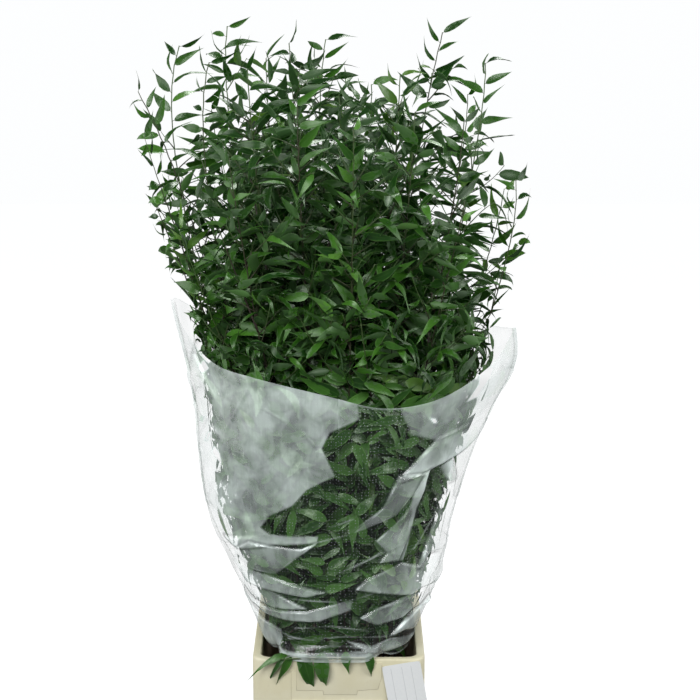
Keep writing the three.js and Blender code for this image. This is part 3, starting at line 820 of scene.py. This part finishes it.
def leafFinish():
    f, colours = Finish(bpy.data.materials.new("laurel_leaf")), leafColours
    toneAndShade, young, under = f.attribute("leafToneAndShade"), f.attribute("leafYoung"), f.attribute("under")
    along, across, _ = f.parts(f.wire("UVMap", {"uv_map": "blade"}))
    offMiddle = f.sum("ABSOLUTE", across - 0.5) * 2
    mottle = f.grain(90, 3)
    # each leaf's tone holds painted shade as well as its random tone: the deep green is partly painted shade,
    # and the pale green of the brightest, outer leaves partly painted light
    green = f.colour(toneAndShade ** 1.4, colours["deep"], colours["full"])
    green = f.colour(f.held(mottle, 0.4, 0.75) * toneAndShade * 0.6, green, colours["mottled"])
    green = f.colour(f.held(toneAndShade, 0.85, 0.95) * 0.7, green, colours["pale"])
    green = f.colour(young * 0.8, green, f.colour(mottle, *colours["fresh"]))
    rib = (1 - f.held(offMiddle, 0.0, 0.14)) * (1 - along)
    green = f.colour(rib * 0.4, green, colours["rib"])
    # painted sheen: paler margins where the leaf edges catch the light
    green = f.colour(f.held(offMiddle, 0.8, 0.96) * 0.5, green, colours["rim"])
    green = f.colour(under * 0.5, green, colours["under"])
    # painted sheen: at the sleeve's heights the leaves turn paler and greyer, standing for the film's veil over
    # them
    _, _, high = f.parts(f.place())
    sleeved = f.held(high, 0.262, 0.275) * (1 - f.held(high, 0.5, 0.66))
    green = f.colour(sleeved * toneAndShade * 0.45, green, colours["sleeved"])
    veins = f.sum("SINE", across * 88) * (1 - rib)
    normal = f.bump(veins * 0.5 - rib * 1.4 + mottle * 0.6, 0.22, 0.00025)
    sheen = 0.15 + under * 0.22 + mottle * 0.14 + toneAndShade * 0.06
    solid = f.principled({"Base Color": green, "Roughness": sheen, "Normal": normal,
                          "Specular IOR Level": 0.8, "Specular Tint": colours["gleam"]})
    through = f.wire("BsdfTranslucent", None, {"Color": colours["through"], "Normal": normal})
    return f.finished(f.mixed(0.2, solid, through))


def stemFinish():
    f = Finish(bpy.data.materials.new("laurel_stem"))
    wood = f.attribute("wood")
    stripes = f.grain(60, 4, f.scaled(f.place(), (6, 6, 0.5)))
    green, bark = f.colour(stripes, *leafColours["stem"]), f.colour(stripes, *leafColours["bark"])
    tint = f.colour(f.held(wood + (stripes - 0.5) * 0.3, 0.1, 0.6), green, bark)
    normal = f.bump(stripes, 0.3, 0.0004)
    return f.finished(f.principled({"Base Color": tint, "Roughness": 0.45 + stripes * 0.2, "Normal": normal}))


finishes = {"leaf": leafFinish(), "stem": stemFinish()}
counts = {"leaves": 0, "triangles": 0}
for number in range(len(branches["stems"])):
    growBranch(number)
print("branches grown, with", counts["leaves"], "leaves and", counts["triangles"], "triangles")


# Low sprig: its leaves hang over the front rim.

sprig = {
    "rim": 249,
    "front": -175.5,
    "rise": ((-40, -96, 3.8), (-46, -130, 150), (-49, -146, 222), (-49, -151, 245),
             (-49, -157, 249), (-49, -166, 249.8), (-48, -175.5, 249)),
    "runners": ((-44, -80), (-50, 46)),  # the shoots that lie along the rim, each from x to x
    "firstSeed": 900,
    "leaves": [  # from x and z, to x and z, the width, and how far it bows to a side
        {"from": (-66, 251), "to": (-126, 217), "width": 11, "bow": -0.8},
        {"from": (-70, 250), "to": (-96, 206), "width": 7, "bow": -0.6},
        {"from": (-60, 251), "to": (-86, 201), "width": 13, "bow": -0.6},
        {"from": (-52, 258), "to": (-34, 190), "width": 23, "bow": 0.1},
        {"from": (-24, 259), "to": (-17, 197), "width": 22, "bow": -0.08},
        {"from": (9, 259), "to": (14, 226), "width": 15, "bow": 0.02},
        {"from": (41, 258), "to": (45, 218), "width": 13, "bow": -0.04},
    ],
}


def makeSprig():
    plant = Plant()
    front, rim = sprig["front"], sprig["rim"]
    rise = np.array(sprig["rise"], float)
    fine = np.linspace(0, len(rise) - 1, 30)
    line = np.stack([curveThrough(np.arange(len(rise)), rise[:, k], fine) for k in range(3)], -1)
    plant.wood(line, 1.5, 1.4, 8, (0.9, 0.5))
    for start, far in sprig["runners"]:
        sag = np.linspace(0, 1, 10)
        line = np.stack([np.linspace(start, far, 10), np.full(10, front), rim - 0.5 - sag], -1)
        plant.wood(line, 1.4, 0.7, 6, (0.4, 0.1))
    facing = np.array([0, -1, 0.0])
    for seed, leaf in enumerate(sprig["leaves"], sprig["firstSeed"]):
        root = np.array([leaf["from"][0], front + 4, leaf["from"][1]])
        tip = np.array([leaf["to"][0], front - 5, leaf["to"][1]])
        direction = unit(unit(tip - root) - np.cross(unit(tip - root), facing) * leaf["bow"])
        length = np.linalg.norm(tip - root) / math.hypot(1, leaf["bow"])
        bow = leaf["bow"] - blades["sway"] * (draw(seed, 1, 31) - 0.5)
        plant.blade(root, direction, squared(facing, direction), length, leaf["width"], 0.0, seed, 0, bow)
    plantPiece("laurel_low_sprig", "low_sprig", plant, free=True)


makeSprig()
print("low sprig made")


# Film sleeve. A facet is a flat fold, seen from the front: which way it rises in degrees from +X, how far,
# how milky it is, which is partly painted reflection of the lamps (nearly white from 1.5 on, as painted
# glints), and its outline in x and z. Creases are thin bright lines of painted highlight.

def facet(rises, depth, milkAndGlare, *outline):
    return {"rises": rises, "depth": depth, "milkAndGlare": milkAndGlare, "outline": outline}


facets = [
    facet(90, 0, 0.8, (-235, 712), (-176, 655), (-132, 650), (-53, 633), (25, 613), (27, 591), (-11, 573),
          (-22, 551), (-5, 513), (-42, 493), (-62, 469), (-91, 453), (-104, 434), (-92, 425), (-150, 405),
          (-186, 416), (-212, 500)),
    facet(0, 3, 0.75, (100, 622), (134, 630), (181, 657), (246, 690), (246, 600), (200, 562), (130, 552),
          (97, 566), (83, 597)),
    facet(270, 7, 0.95, (82, 501), (86, 511), (108, 532), (130, 553), (162, 561), (208, 572), (206, 538),
          (175, 526), (118, 511)),
    facet(60, 6, 0.5, (81, 509), (116, 508), (101, 482), (77, 454), (22, 433), (60, 466)),
    facet(0, 4, 0.9, (122, 512), (114, 507), (101, 480), (76, 388), (86, 388), (104, 457), (115, 483)),
    facet(300, 5, 0.5, (98, 460), (93, 425), (79, 389), (56, 388), (66, 402), (51, 419), (75, 439)),
    facet(270, 8, 0.55, (24, 351), (37, 364), (84, 384), (107, 374), (146, 390), (141, 340), (109, 343),
          (96, 336), (62, 343)),
    facet(200, 6, 0.6, (140, 454), (162, 376), (122, 390), (106, 373), (122, 413)),
    facet(300, 5, 0.5, (160, 372), (145, 350), (138, 312), (112, 342), (128, 370)),
    facet(270, 7, 0.5, (30, 308), (51, 320), (109, 339), (132, 335), (129, 312), (101, 312), (86, 303),
          (51, 297)),
    facet(130, 6, 0.75, (70, 276), (92, 297), (121, 319), (130, 300), (116, 268), (91, 281)),
    facet(270, 4, 0.5, (12, 272), (44, 264), (71, 272), (112, 262), (92, 256), (52, 253)),
    facet(270, 6, 0.95, (-156, 405), (-93, 425), (-28, 426), (-30, 417), (-84, 412), (-135, 395)),
    facet(90, 3, 0.55, (-140, 391), (-118, 410), (-50, 407), (-30, 416), (-59, 393), (-85, 370),
          (-146, 370)),
    facet(270, 7, 0.7, (-148, 371), (-94, 365), (-19, 346), (-42, 340), (-94, 345), (-124, 346)),
    facet(270, 6, 0.55, (-144, 345), (-94, 344), (-44, 322), (-87, 318), (-120, 325)),
    facet(270, 7, 0.55, (-138, 318), (-95, 314), (-42, 317), (18, 334), (16, 321), (-25, 304), (-68, 302),
          (-100, 305)),
    facet(200, 7, 0.85, (-134, 312), (-106, 290), (-80, 284), (-78, 262), (-96, 250), (-118, 262)),
    facet(270, 2, 0.6, (-90, 250), (-43, 256), (60, 260), (60, 249), (-43, 244)),
    facet(180, 4, 0.6, (-196, 520), (-178, 560), (-160, 548), (-170, 500), (-184, 450)),
    facet(150, 5, 0.65, (-214, 640), (-196, 650), (-168, 600), (-176, 560), (-196, 596)),
    # painted highlight: a bright strip, and then small white glints of the lamps with no fold under them
    facet(0, 3, 1.3, (138, 511), (154, 517), (161, 482), (150, 483)),
    facet(0, 0, 2, (164, 646), (186, 646), (184, 634), (173, 640), (165, 630)),
    facet(0, 0, 2, (190, 641), (210, 636), (206, 624), (187, 600), (172, 597), (190, 618)),
    facet(0, 0, 2, (-187, 652), (-175, 645), (-167, 653), (-178, 663)),
    facet(0, 0, 2, (-192, 636), (-182, 647), (-175, 638), (-185, 627)),
    facet(0, 0, 2, (-186, 528), (-178, 532), (-171, 549), (-177, 546)),
    facet(0, 0, 1.8, (-173, 520), (-167, 532), (-160, 522), (-158, 509), (-164, 514)),
    facet(0, 0, 2, (-196, 548), (-190, 562), (-181, 566), (-188, 552)),
    facet(0, 0, 2, (120, 585), (126, 577), (131, 576), (128, 582)),
]
creases = [
    ((-110, 655), (-100, 600), (-70, 585)), ((-51, 576), (-25, 548)), ((-29, 418), (10, 428), (55, 462)),
    ((18, 380), (56, 402)), ((-42, 317), (15, 334), (56, 347)), ((2, 375), (23, 385), (80, 410)),
    ((-170, 470), (-150, 430), (-140, 405)), ((-60, 290), (-10, 296), (40, 288)),
    ((-70, 272), (10, 280), (66, 276)), ((20, 452), (-10, 440)), ((-120, 620), (-150, 560), (-156, 500)),
    ((-60, 262), (0, 266), (60, 262)), ((60, 322), (105, 330), (140, 352)),
    ((-120, 350), (-60, 335), (0, 332)), ((100, 400), (130, 440), (150, 490)),
    ((-118, 296), (-70, 276), (-20, 272)),
]
film = {
    "sideFolds": 70,
    "prints": 110,
    "flat": (1.31, 0.46),
    "sinks": 4,  # how far the film may lie behind its even form
    "clearVeil": 0.008,
    "milkAndGlareVeil": 0.7,
    "tint": (0.84, 0.95, 0.925),
    # the greener tint of leaves lit through the film and the white of the glints are painted light; the dark is
    # the painted shadow below the folds
    "litLeafTint": (0.79, 0.98, 0.82),
    "glintTint": (0.98, 0.99, 0.99),
    "shade": (0.015, 0.025, 0.022),
}


def perimeter(z):  # the distance along the section by direction, from the front's middle
    turn = np.linspace(-90, 270, 2881)
    x, y = sleevePlace(turn, np.full(len(turn), float(z)))
    steps = np.hypot(np.diff(x), np.diff(y))
    return turn, np.concatenate([[0], np.cumsum(steps)])


def filmColumns():  # directions that lie evenly along both the hem and the middle, and closer in front
    turn, low = perimeter(262)
    _, high = perimeter(560)
    even = (low / low[-1] + high / high[-1]) / 2
    share = np.arange(sleeve["columns"]) / sleeve["columns"]
    share = share - 0.085 * np.sin(share * 2 * np.pi)
    return np.interp(share, even, turn)


def insideBy(x, z, outline):  # how far a point lies inside an outline, and below 0 outside it
    corners = np.array(outline, float)
    nearest, inside = np.full(len(x), 1e9), np.zeros(len(x), bool)
    for (ax, az), (bx, bz) in zip(corners, np.roll(corners, -1, axis=0)):
        wide, tall = bx - ax, bz - az
        share = np.clip(((x - ax) * wide + (z - az) * tall) / (wide**2 + tall**2), 0, 1)
        nearest = np.minimum(nearest, np.hypot(x - ax - share * wide, z - az - share * tall))
        if tall:
            inside ^= ((az > z) != (bz > z)) & (x < ax + (z - az) / tall * wide)
    return np.where(inside, nearest, -nearest)


def foldIn(x, z, fold, lift, milkAndGlare, shade):  # adds a facet to the film's height and finish, with a painted highlight along its outline and a painted shadow outside its high edge
    corners = np.array(fold["outline"], float)
    near = (np.abs(x - corners[:, 0].mean()) < np.ptp(corners[:, 0]) + 20)
    near &= (np.abs(z - corners[:, 1].mean()) < np.ptp(corners[:, 1]) + 20)
    x, z = x[near], z[near]
    deep = insideBy(x, z, fold["outline"])
    way = np.array([math.cos(math.radians(fold["rises"])), math.sin(math.radians(fold["rises"]))])
    reach = corners @ way
    share = np.clip((x * way[0] + z * way[1] - reach.min()) / np.ptp(reach), 0, 1)
    within = eased(-1.5, 1.5, deep)
    lift[near] += fold["depth"] * share * within
    folded = fold["depth"] > 0
    # painted highlight: a bright line along the facet's outline
    line = (1 - eased(0.3, 1.9, np.abs(deep - 0.4))) * folded * (0.4 + 0.75 * share)
    line *= 0.75 + 0.35 * np.sin(x / 9 + z / 7 + corners[0, 0])
    # painted light: the facet is milkier towards its high side, as if tilted to the light
    tiltLight = mix(0.45, 1.3, share) if folded else mix(0.82, 1, share)
    milkAndGlare[near] = np.maximum(mix(milkAndGlare[near], fold["milkAndGlare"] * tiltLight, within), line * 1.15)
    # painted shadow: a dark band just outside the facet's high edge
    edge = eased(-6, -2.5, deep) * (1 - eased(-1.8, -0.6, deep)) * eased(0.3, 0.7, share) * folded
    shade[near] = np.maximum(shade[near] * (1 - within), edge * min(1, 0.3 + fold["depth"] / 6))


def foldAll(folds, where, across, z, layers):  # adds facets to the points whose numbers are in where
    picked = [layer[where] for layer in layers]
    for fold in folds:
        foldIn(across[where], z[where], fold, *picked)
    for layer, values in zip(layers, picked):
        layer[where] = values


def sideFold(number):  # further facets, by a rule, along the sides and the back: long and tapered
    chance = [draw(number, salt, 60) for salt in range(12)]
    base = np.array([mix(260, 1080, chance[3]), mix(268, 610, chance[4] ** 1.25)])
    long, wide = mix(80, 190, chance[5]), mix(16, 44, chance[6])
    lean = (chance[7] - 0.5) * 1.3
    run = np.array([(1 if chance[8] < 0.5 else -1) * math.cos(lean), math.sin(lean)])
    across = np.array([-math.sin(lean), math.cos(lean)])
    return facet(
        270 if chance[9] < 0.6 else 90, mix(1.5, 3.5, chance[10]), mix(0.35, 0.9, chance[11]),
        base + across * wide / 2, base + run * long * 0.45 + across * wide * 0.42, base + run * long,
        base + run * long * 0.5 - across * wide * 0.38, base - across * wide / 2,
    )


def crumple(s, z, size, seed):  # flat faces between sharp ridges
    heights = []
    for a, b in zip(s / size, z / (size * 0.7)):
        near = noise.voronoi(Vector((a + seed, b, seed * 1.7)))[0]
        heights.append(near[1] - near[0])
    return np.array(heights) - 0.3


def leafLightPatches(x, z):  # where leaves lie against the film: above 0 a lighter, greener patch of painted light, below 0 the veil thins and it looks darker
    shape = np.zeros(len(x))
    for number in range(film["prints"]):
        chance = [draw(number, salt, 61) for salt in range(8)]
        turn = chance[0] * 2 * np.pi
        right, high = x - mix(-225, 240, chance[1]), z - mix(372, 700, chance[2])
        length, width = mix(40, 66, chance[3]), mix(12, 20, chance[4])
        u = (right * np.cos(turn) + high * np.sin(turn)) / length
        across = high * np.cos(turn) - right * np.sin(turn) - (chance[5] - 0.5) * length * 4 * u**2
        half = width / 2 * np.clip(1 - 4 * u**2, 0, 1)
        within = eased(-0.4, 1.4, half - np.abs(across)) * (np.abs(u) < 0.5)
        shape = mix(shape, (1 if chance[6] < 0.72 else -0.6) * mix(0.35, 1, chance[7]), within)
    return shape


def foldedFilm(x, y, z, s):  # how far each point is lifted, how milky it is with its painted reflection and highlights, and how dark with painted shadow
    layers = [np.zeros(len(x)) for _ in range(3)]
    lift, milkAndGlare = layers[:2]
    front = np.flatnonzero(y < 10)
    foldAll(facets, front, x, z, layers)
    for points in creases:
        line = 1 - eased(0.2, 1.5, -insideBy(x[front], z[front], points + points[-2:0:-1]))
        broken = 0.6 + 0.4 * np.sin(x[front] / 11 + points[0][1])
        lift[front] += line * 1.2
        # painted highlight: a bright broken line along each crease
        milkAndGlare[front] = np.maximum(milkAndGlare[front], line * broken * 0.55)
    foldAll([sideFold(number) for number in range(film["sideFolds"])], np.flatnonzero(y > -70), s, z, layers)
    return layers


def shapedFilm(lift, turns, s, z, hem, inApron, beside):  # adds the broad dents, the apron and the seams
    lift = lift + (1.1 * crumple(s, z, 70, 3) + 0.4 * (1 - beside) * crumple(s, z, 30, 8))
    lift += [4 * noise.noise(Vector((a / 130, b / 90, 2.5))) for a, b in zip(s, z)]
    lift = np.maximum(lift * (1 - 0.45 * beside), -film["sinks"])
    offHem = eased(0, 14, z - hem)
    lift *= 0.25 + 0.75 * offHem
    lift += sleeve["apron"] * inApron * (1 - eased(8, 26, z - hem))
    for seam in (0, 180):
        off = np.abs((turns - seam + 180) % 360 - 180)
        lift += sleeve["seamFin"] * np.clip(1 - off / sleeve["seamWidth"], 0, 1) * offHem
    return lift


def makeSleeve():
    columns, rows = sleeve["columns"], sleeve["rows"]
    turn = filmColumns()
    turns, around = np.tile(turn, rows + 1), np.tile(turn % 360, rows + 1)
    s = np.tile(np.interp(turn, *perimeter(450)), rows + 1)
    inApron = eased(*sleeve["apronFrom"], around) * (1 - eased(*sleeve["apronTo"], around))
    beside = eased(0.8, 0.95, np.abs(np.cos(np.radians(turns))))
    hem, top = mix(edgeHeight("hem", turns), sleeve["apronHem"], inApron), edgeHeight("top", turns)
    z = mix(hem, top, np.repeat(np.linspace(0, 1, rows + 1), columns))
    x, y = sleevePlace(turns, z)
    lift, milkAndGlare, shade = foldedFilm(x, y, z, s)
    lift = shapedFilm(lift, turns, s, z, hem, inApron, beside)
    inner, outer = ([value * 0.995 for value in sleevePlace(turns + aside, z)] for aside in (0.4, -0.4))
    out = unit(np.stack([inner[1] - outer[1], outer[0] - inner[0]], -1))
    x, y = x + out[:, 0] * lift, y + out[:, 1] * lift
    # painted highlight: a whiter line along the top edge and the hem
    edge = 1 - eased(0.5, 3, np.minimum(top - z, z - hem))
    milkAndGlare = np.maximum(np.maximum(milkAndGlare, edge * 0.6), 0.22 * eased(120, 185, np.abs(x)))
    milkAndGlare *= 1 - 0.35 * beside
    band = inApron * (1 - eased(9, 15, z - hem))
    milkAndGlare = np.maximum(milkAndGlare, band * (0.95 - 0.5 * eased(3, 5, z - hem) * (1 - eased(6, 8, z - hem))))
    shade = shade * (1 - 0.85 * beside) * (1 - band)
    cells = np.stack([np.tile(np.arange(columns), rows), np.repeat(np.arange(rows), columns)], -1)
    uv = (cells[:, None] + np.array([[0, 0], [1, 0], [1, 1], [0, 1]])) / np.array([columns, rows])
    # print holds the painted light of the leaves against the film's front
    piece = meshOf(
        "film_sleeve", np.stack([x, y, z], -1), ringQuads(rows, columns).ravel(), np.full(rows * columns, 4),
        pointValues={"milkAndGlare": milkAndGlare, "shade": shade, "around": s, "high": z,
                     "print": leafLightPatches(x, z) * (y < 0), "beside": beside},
        uvs={"OFBake": uv},
    )
    piece.data.materials.append(filmFinish())
    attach(piece, "root")
    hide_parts("sleeve")


def filmFinish():
    f = Finish(bpy.data.materials.new("clear_film"))
    milkAndGlare, shade, leafy, beside = (f.attribute(name) for name in ("milkAndGlare", "shade", "print", "beside"))
    spot = f.wire("CombineXYZ", None, {0: f.attribute("around"), 1: f.attribute("high")})
    wrinkle = f.grain(0.07, 3, f.scaled(spot, (1.6, 1, 1)), 0.6)
    warp = f.wire("TexNoise", None, {"Vector": spot, "Scale": 0.03, "Detail": 2.0}, 1)
    bent = f.wire("VectorMath", {"operation": "MULTIPLY_ADD"}, {0: warp, 1: (26, 26, 0), 2: spot})
    cloud = f.held(f.grain(0.02, 3, bent, 0.5), 0.38, 0.62)
    patch = f.held(f.grain(0.045, 2, f.scaled(bent, (1.5, 0.8, 1))), 0.47, 0.57)
    streak = f.grain(0.3, 3, f.scaled(spot, (1.3, 0.14, 1)), 0.6)
    settings = {"feature": "F1", "voronoi_dimensions": "2D"}
    dots = f.wire("TexVoronoi", settings, {"Vector": spot, "Scale": 1 / 4.4, "Randomness": 0.45})
    hole = (1 - f.held(dots, 0.05, 0.17)) * f.held(streak, 0.4, 0.6) * (1 - f.held(milkAndGlare, 0.12, 0.4) * 0.85)
    hole = hole * (1 - beside * 0.9)
    haze = (0.47 + cloud * 0.48 + patch * 0.12) * (0.86 + streak * 0.26)
    # painted light of the leaves against the film: the veil thickens and turns greener over them, and thins
    # elsewhere
    light, dim = f.held(leafy, 0, 1), f.held(0 - leafy, 0, 1)
    haze = haze * (0.95 + light * 0.3 - dim * 0.4)
    # the veil is thickest at the painted glints
    veil = film["clearVeil"] + milkAndGlare * film["milkAndGlareVeil"] * haze + hole * 0.5 + f.held(milkAndGlare, 0.85, 1.25) * 0.28
    normal = f.bump(wrinkle, 0.13, 0.003)
    tint = f.colour(light * 0.7, film["tint"], film["litLeafTint"])
    # painted glints: the milkiest spots turn nearly white
    tint = f.colour(f.held(milkAndGlare, 1.15, 1.5), tint, film["glintTint"])
    body = f.principled({"Base Color": tint, "Roughness": 0.38, "Normal": normal})
    clear = f.wire("BsdfTransparent", None, {"Color": (1, 1, 1)})
    # painted shadow: a dark sheet mixed in along the shade lines below the folds
    dark = f.principled({"Base Color": film["shade"], "Roughness": 0.3})
    shine = f.wire("BsdfGlossy", None, {"Color": (1, 1, 1), "Roughness": 0.07, "Normal": normal})
    facing = f.wire("LayerWeight", None, {"Blend": 0.5, "Normal": normal}, 1)
    sheet = f.mixed(shade * 0.6, f.mixed(veil, clear, body), dark)
    return f.finished(f.mixed(0.02 + facing ** 4 * (0.24 - beside * 0.14), sheet, shine))


makeSleeve()
print("film sleeve made")


# Bucket: a stack of rounded rectangles from the middle of its underside, up its outside and down its inside.

bucket = {
    "halfX": 118,
    "halfY": 170,
    "corner": 20,
    "cornerSteps": 8,
    "high": 245,
    "collar": 95,
    "plates": [  # the raised plates on the front: how thick each is, and its outline in x and z
        (0.9, [(-65, 150.4), (67, 150.4), (67, 229), (-65, 229)]),
        (1.5, [(-58, 200), (-22, 200), (-21, 194), (25, 194), (26, 200), (54, 202), (59, 220), (59, 240),
               (-58, 240)]),
        (2.5, [(-68, 152), (64, 152), (64, 182), (60, 187), (-64, 187), (-68, 182)]),
    ],
    "cream": ((0.69, 0.65, 0.45), (0.76, 0.73, 0.555)),
    "speck": (0.55, 0.46, 0.30),
    "scuff": (0.45, 0.38, 0.26),
    # dark brown inside: partly dirt, partly painted shade
    "dirtAndShade": (0.10, 0.045, 0.02),
}


def bucketRing(inset, z):
    radius, steps = max(6, bucket["corner"] - inset * 0.5), bucket["cornerSteps"]
    ring = []
    for corner in range(4):
        sideX, sideY = (1 if corner in (0, 3) else -1), (1 if corner < 2 else -1)
        for i in range(steps + 1):
            angle = (corner + i / steps) * math.pi / 2
            ring.append((
                sideX * (bucket["halfX"] - inset - radius) + radius * math.cos(angle),
                sideY * (bucket["halfY"] - inset - radius) + radius * math.sin(angle),
                z,
            ))
    return ring


def bucketProfile():  # insets and heights, up the outside and over the rim, and then down the inside
    high, foot = bucket["high"], bucket["high"] - bucket["collar"]
    outside = [
        (17, 0), (16, 0.5), (15.2, 2), (14.6, 8), (10.2, foot), (8, high - 6), (7.5, high - 4),
        (5, high - 3.2), (3.6, high - 3.6), (2.6, high - 5), (2.6, foot + 1), (2.2, foot + 0.3),
        (1.6, foot), (0.8, foot + 0.4), (0.3, foot + 2), (0.3, foot + 5), (0, foot + 7), (0, high - 3),
        (0.4, high - 1.2), (1.3, high - 0.3), (2.6, high), (9.4, high), (10.4, high - 0.3), (11, high - 1.2),
    ]
    return outside, [(11.1, high - 6), (11.3, high - 30), (13, foot), (17.4, 9), (18.6, 5), (21, 3.5)]


def makeBucket():
    outside, within = bucketProfile()
    rings = [bucketRing(inset, z) for inset, z in outside + within]
    across = len(rings[0])
    points = [p for ring in rings for p in ring]
    faces = ringQuads(len(rings) - 1, across).tolist()
    faces += [range(across)[::-1], range(len(points) - across, len(points))]
    inside = [1.0 if k >= len(outside) * across else 0.0 for k in range(len(faces))]
    for thick, outline in bucket["plates"]:
        first, count = len(points), len(outline)
        centre = np.mean(outline, axis=0)
        for depth, shrink in ((-1.2, 0), (thick - 0.5, 0), (thick - 0.12, 0.35), (thick, 0.9)):
            for corner in np.array(outline):
                x, z = corner - np.sign(corner - centre) * shrink
                points.append((x, -bucket["halfY"] - depth, z))
        faces += ringQuads(3, count, first).tolist()
        faces += [range(first + 3 * count, first + 4 * count), range(first, first + count)[::-1]]
        # painted shade: the sides of the raised plates take a quarter of the inside's darkening
        inside += [0.25] * (count * 3) + [0.0] * 2
    piece = meshOf("plastic_bucket", points, *flattened(faces), faceValues={"inside": inside})
    piece.data.set_sharp_from_angle(angle=sharpAngle)
    piece.data.materials.append(bucketFinish())
    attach(piece, "root")
    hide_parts("bucket")


def bucketFinish():
    f = Finish(bpy.data.materials.new("moulded_plastic"))
    inside = f.attribute("inside")
    speckle = f.grain(140, 4)
    blotch = f.grain(9, 4, None, 0.6)
    cream = f.colour(f.held(blotch, 0.35, 0.7), *bucket["cream"])
    cream = f.colour(f.held(speckle, 0.6, 0.85) * 0.4, cream, bucket["speck"])
    _, _, z = f.parts(f.place())
    scuff = f.held(f.grain(26, 5, f.scaled(f.place(), (1, 1, 0.3)), 0.7), 0.58, 0.72)
    cream = f.colour(scuff * 0.25, cream, bucket["scuff"])
    # darker inside and lighter towards the rim, partly dirt and partly painted shade; painted shade on the
    # plates' sides
    dirtAndShade = inside * (1 - f.held(z, 0.1, 0.26) * 0.35)
    tint = f.colour(dirtAndShade * 0.9, cream, bucket["dirtAndShade"])
    normal = f.bump(speckle * 0.5 + blotch + scuff * 0.6, 0.18, 0.0008)
    rough = 0.42 + speckle * 0.14 + scuff * 0.15
    return f.finished(f.principled({"Base Color": tint, "Roughness": rough, "Normal": normal}))


makeBucket()
print("bucket made")


# Label: blank paper with a few plain ruled lines.

label = {
    "width": 53,
    "length": 95,
    "turn": 10,
    "corner": 2.5,
    "curl": 2.2,
    "thick": 0.25,
    "at": (93, -171.95, 193),
    "columns": 12,
    "rows": 20,
    "lines": (0.22, 0.5, 0.74),  # each ruled line's share of the width
    "paper": ((0.78, 0.81, 0.82), (0.85, 0.87, 0.87)),
    "grey": (0.35, 0.36, 0.38),
}


def labelPoint(u, v, layer):  # layer 0 is the paper's back and 1 its face
    x, z = (u - 0.5) * label["width"], (v - 0.5) * label["length"]
    inX, inZ = label["width"] / 2 - label["corner"], label["length"] / 2 - label["corner"]
    over = math.hypot(max(abs(x) - inX, 0), max(abs(z) - inZ, 0))
    if abs(x) > inX and abs(z) > inZ and over > label["corner"]:
        pull = label["corner"] / over
        x = math.copysign(inX + (abs(x) - inX) * pull, x)
        z = math.copysign(inZ + (abs(z) - inZ) * pull, z)
    lift = label["curl"] * (u**4 * 0.7 + (1 - v) ** 5) * (0.4 + 0.6 * u)
    turn = math.radians(label["turn"])
    return (
        label["at"][0] + x * math.cos(turn) - z * math.sin(turn),
        label["at"][1] + 0.1 - layer * label["thick"] - lift,
        label["at"][2] + x * math.sin(turn) + z * math.cos(turn),
    )


def makeLabel():
    columns, rows = label["columns"], label["rows"]
    places = [(i / columns, j / rows) for j in range(rows + 1) for i in range(columns + 1)]
    points = [labelPoint(u, v, layer) for layer in (0, 1) for u, v in places]

    def at(layer, j, i):
        return layer * len(places) + j * (columns + 1) + i

    faces = []
    for j in range(rows):
        for i in range(columns):
            faces.append((at(1, j, i), at(1, j, i + 1), at(1, j + 1, i + 1), at(1, j + 1, i)))
            faces.append((at(0, j, i), at(0, j + 1, i), at(0, j + 1, i + 1), at(0, j, i + 1)))
    edge = [(0, i) for i in range(columns)] + [(j, columns) for j in range(rows)]
    edge += [(rows, i) for i in range(columns, 0, -1)] + [(j, 0) for j in range(rows, 0, -1)]
    for (j, i), (j2, i2) in zip(edge, edge[1:] + edge[:1]):
        faces.append((at(0, j, i), at(0, j2, i2), at(1, j2, i2), at(1, j, i)))
    corners, sizes = flattened(faces)
    uv = [places[corner % len(places)] for corner in corners]
    piece = meshOf("blank_label", points, corners, sizes, uvs={"print": uv})
    piece.data.set_sharp_from_angle(angle=sharpAngle)
    piece.data.materials.append(labelFinish())
    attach(piece, "root")
    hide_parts("label")


def labelFinish():
    f = Finish(bpy.data.materials.new("label_paper"))
    u, v, _ = f.parts(f.wire("UVMap", {"uv_map": "print"}))
    ruled = [1 - f.held(f.sum("ABSOLUTE", u - at), 0.004, 0.009) for at in label["lines"]]
    lines = ruled[0]
    for line in ruled[1:]:
        lines = lines + line
    lines = lines * f.held(v, 0.05, 0.06) * (1 - f.held(v, 0.94, 0.95))
    fibre = f.grain(300, 3)
    tint = f.colour(lines * 0.45, f.colour(fibre, *label["paper"]), label["grey"])
    normal = f.bump(fibre, 0.1, 0.0002)
    return f.finished(f.principled({"Base Color": tint, "Roughness": 0.55, "Normal": normal}))


makeLabel()
print("label made")
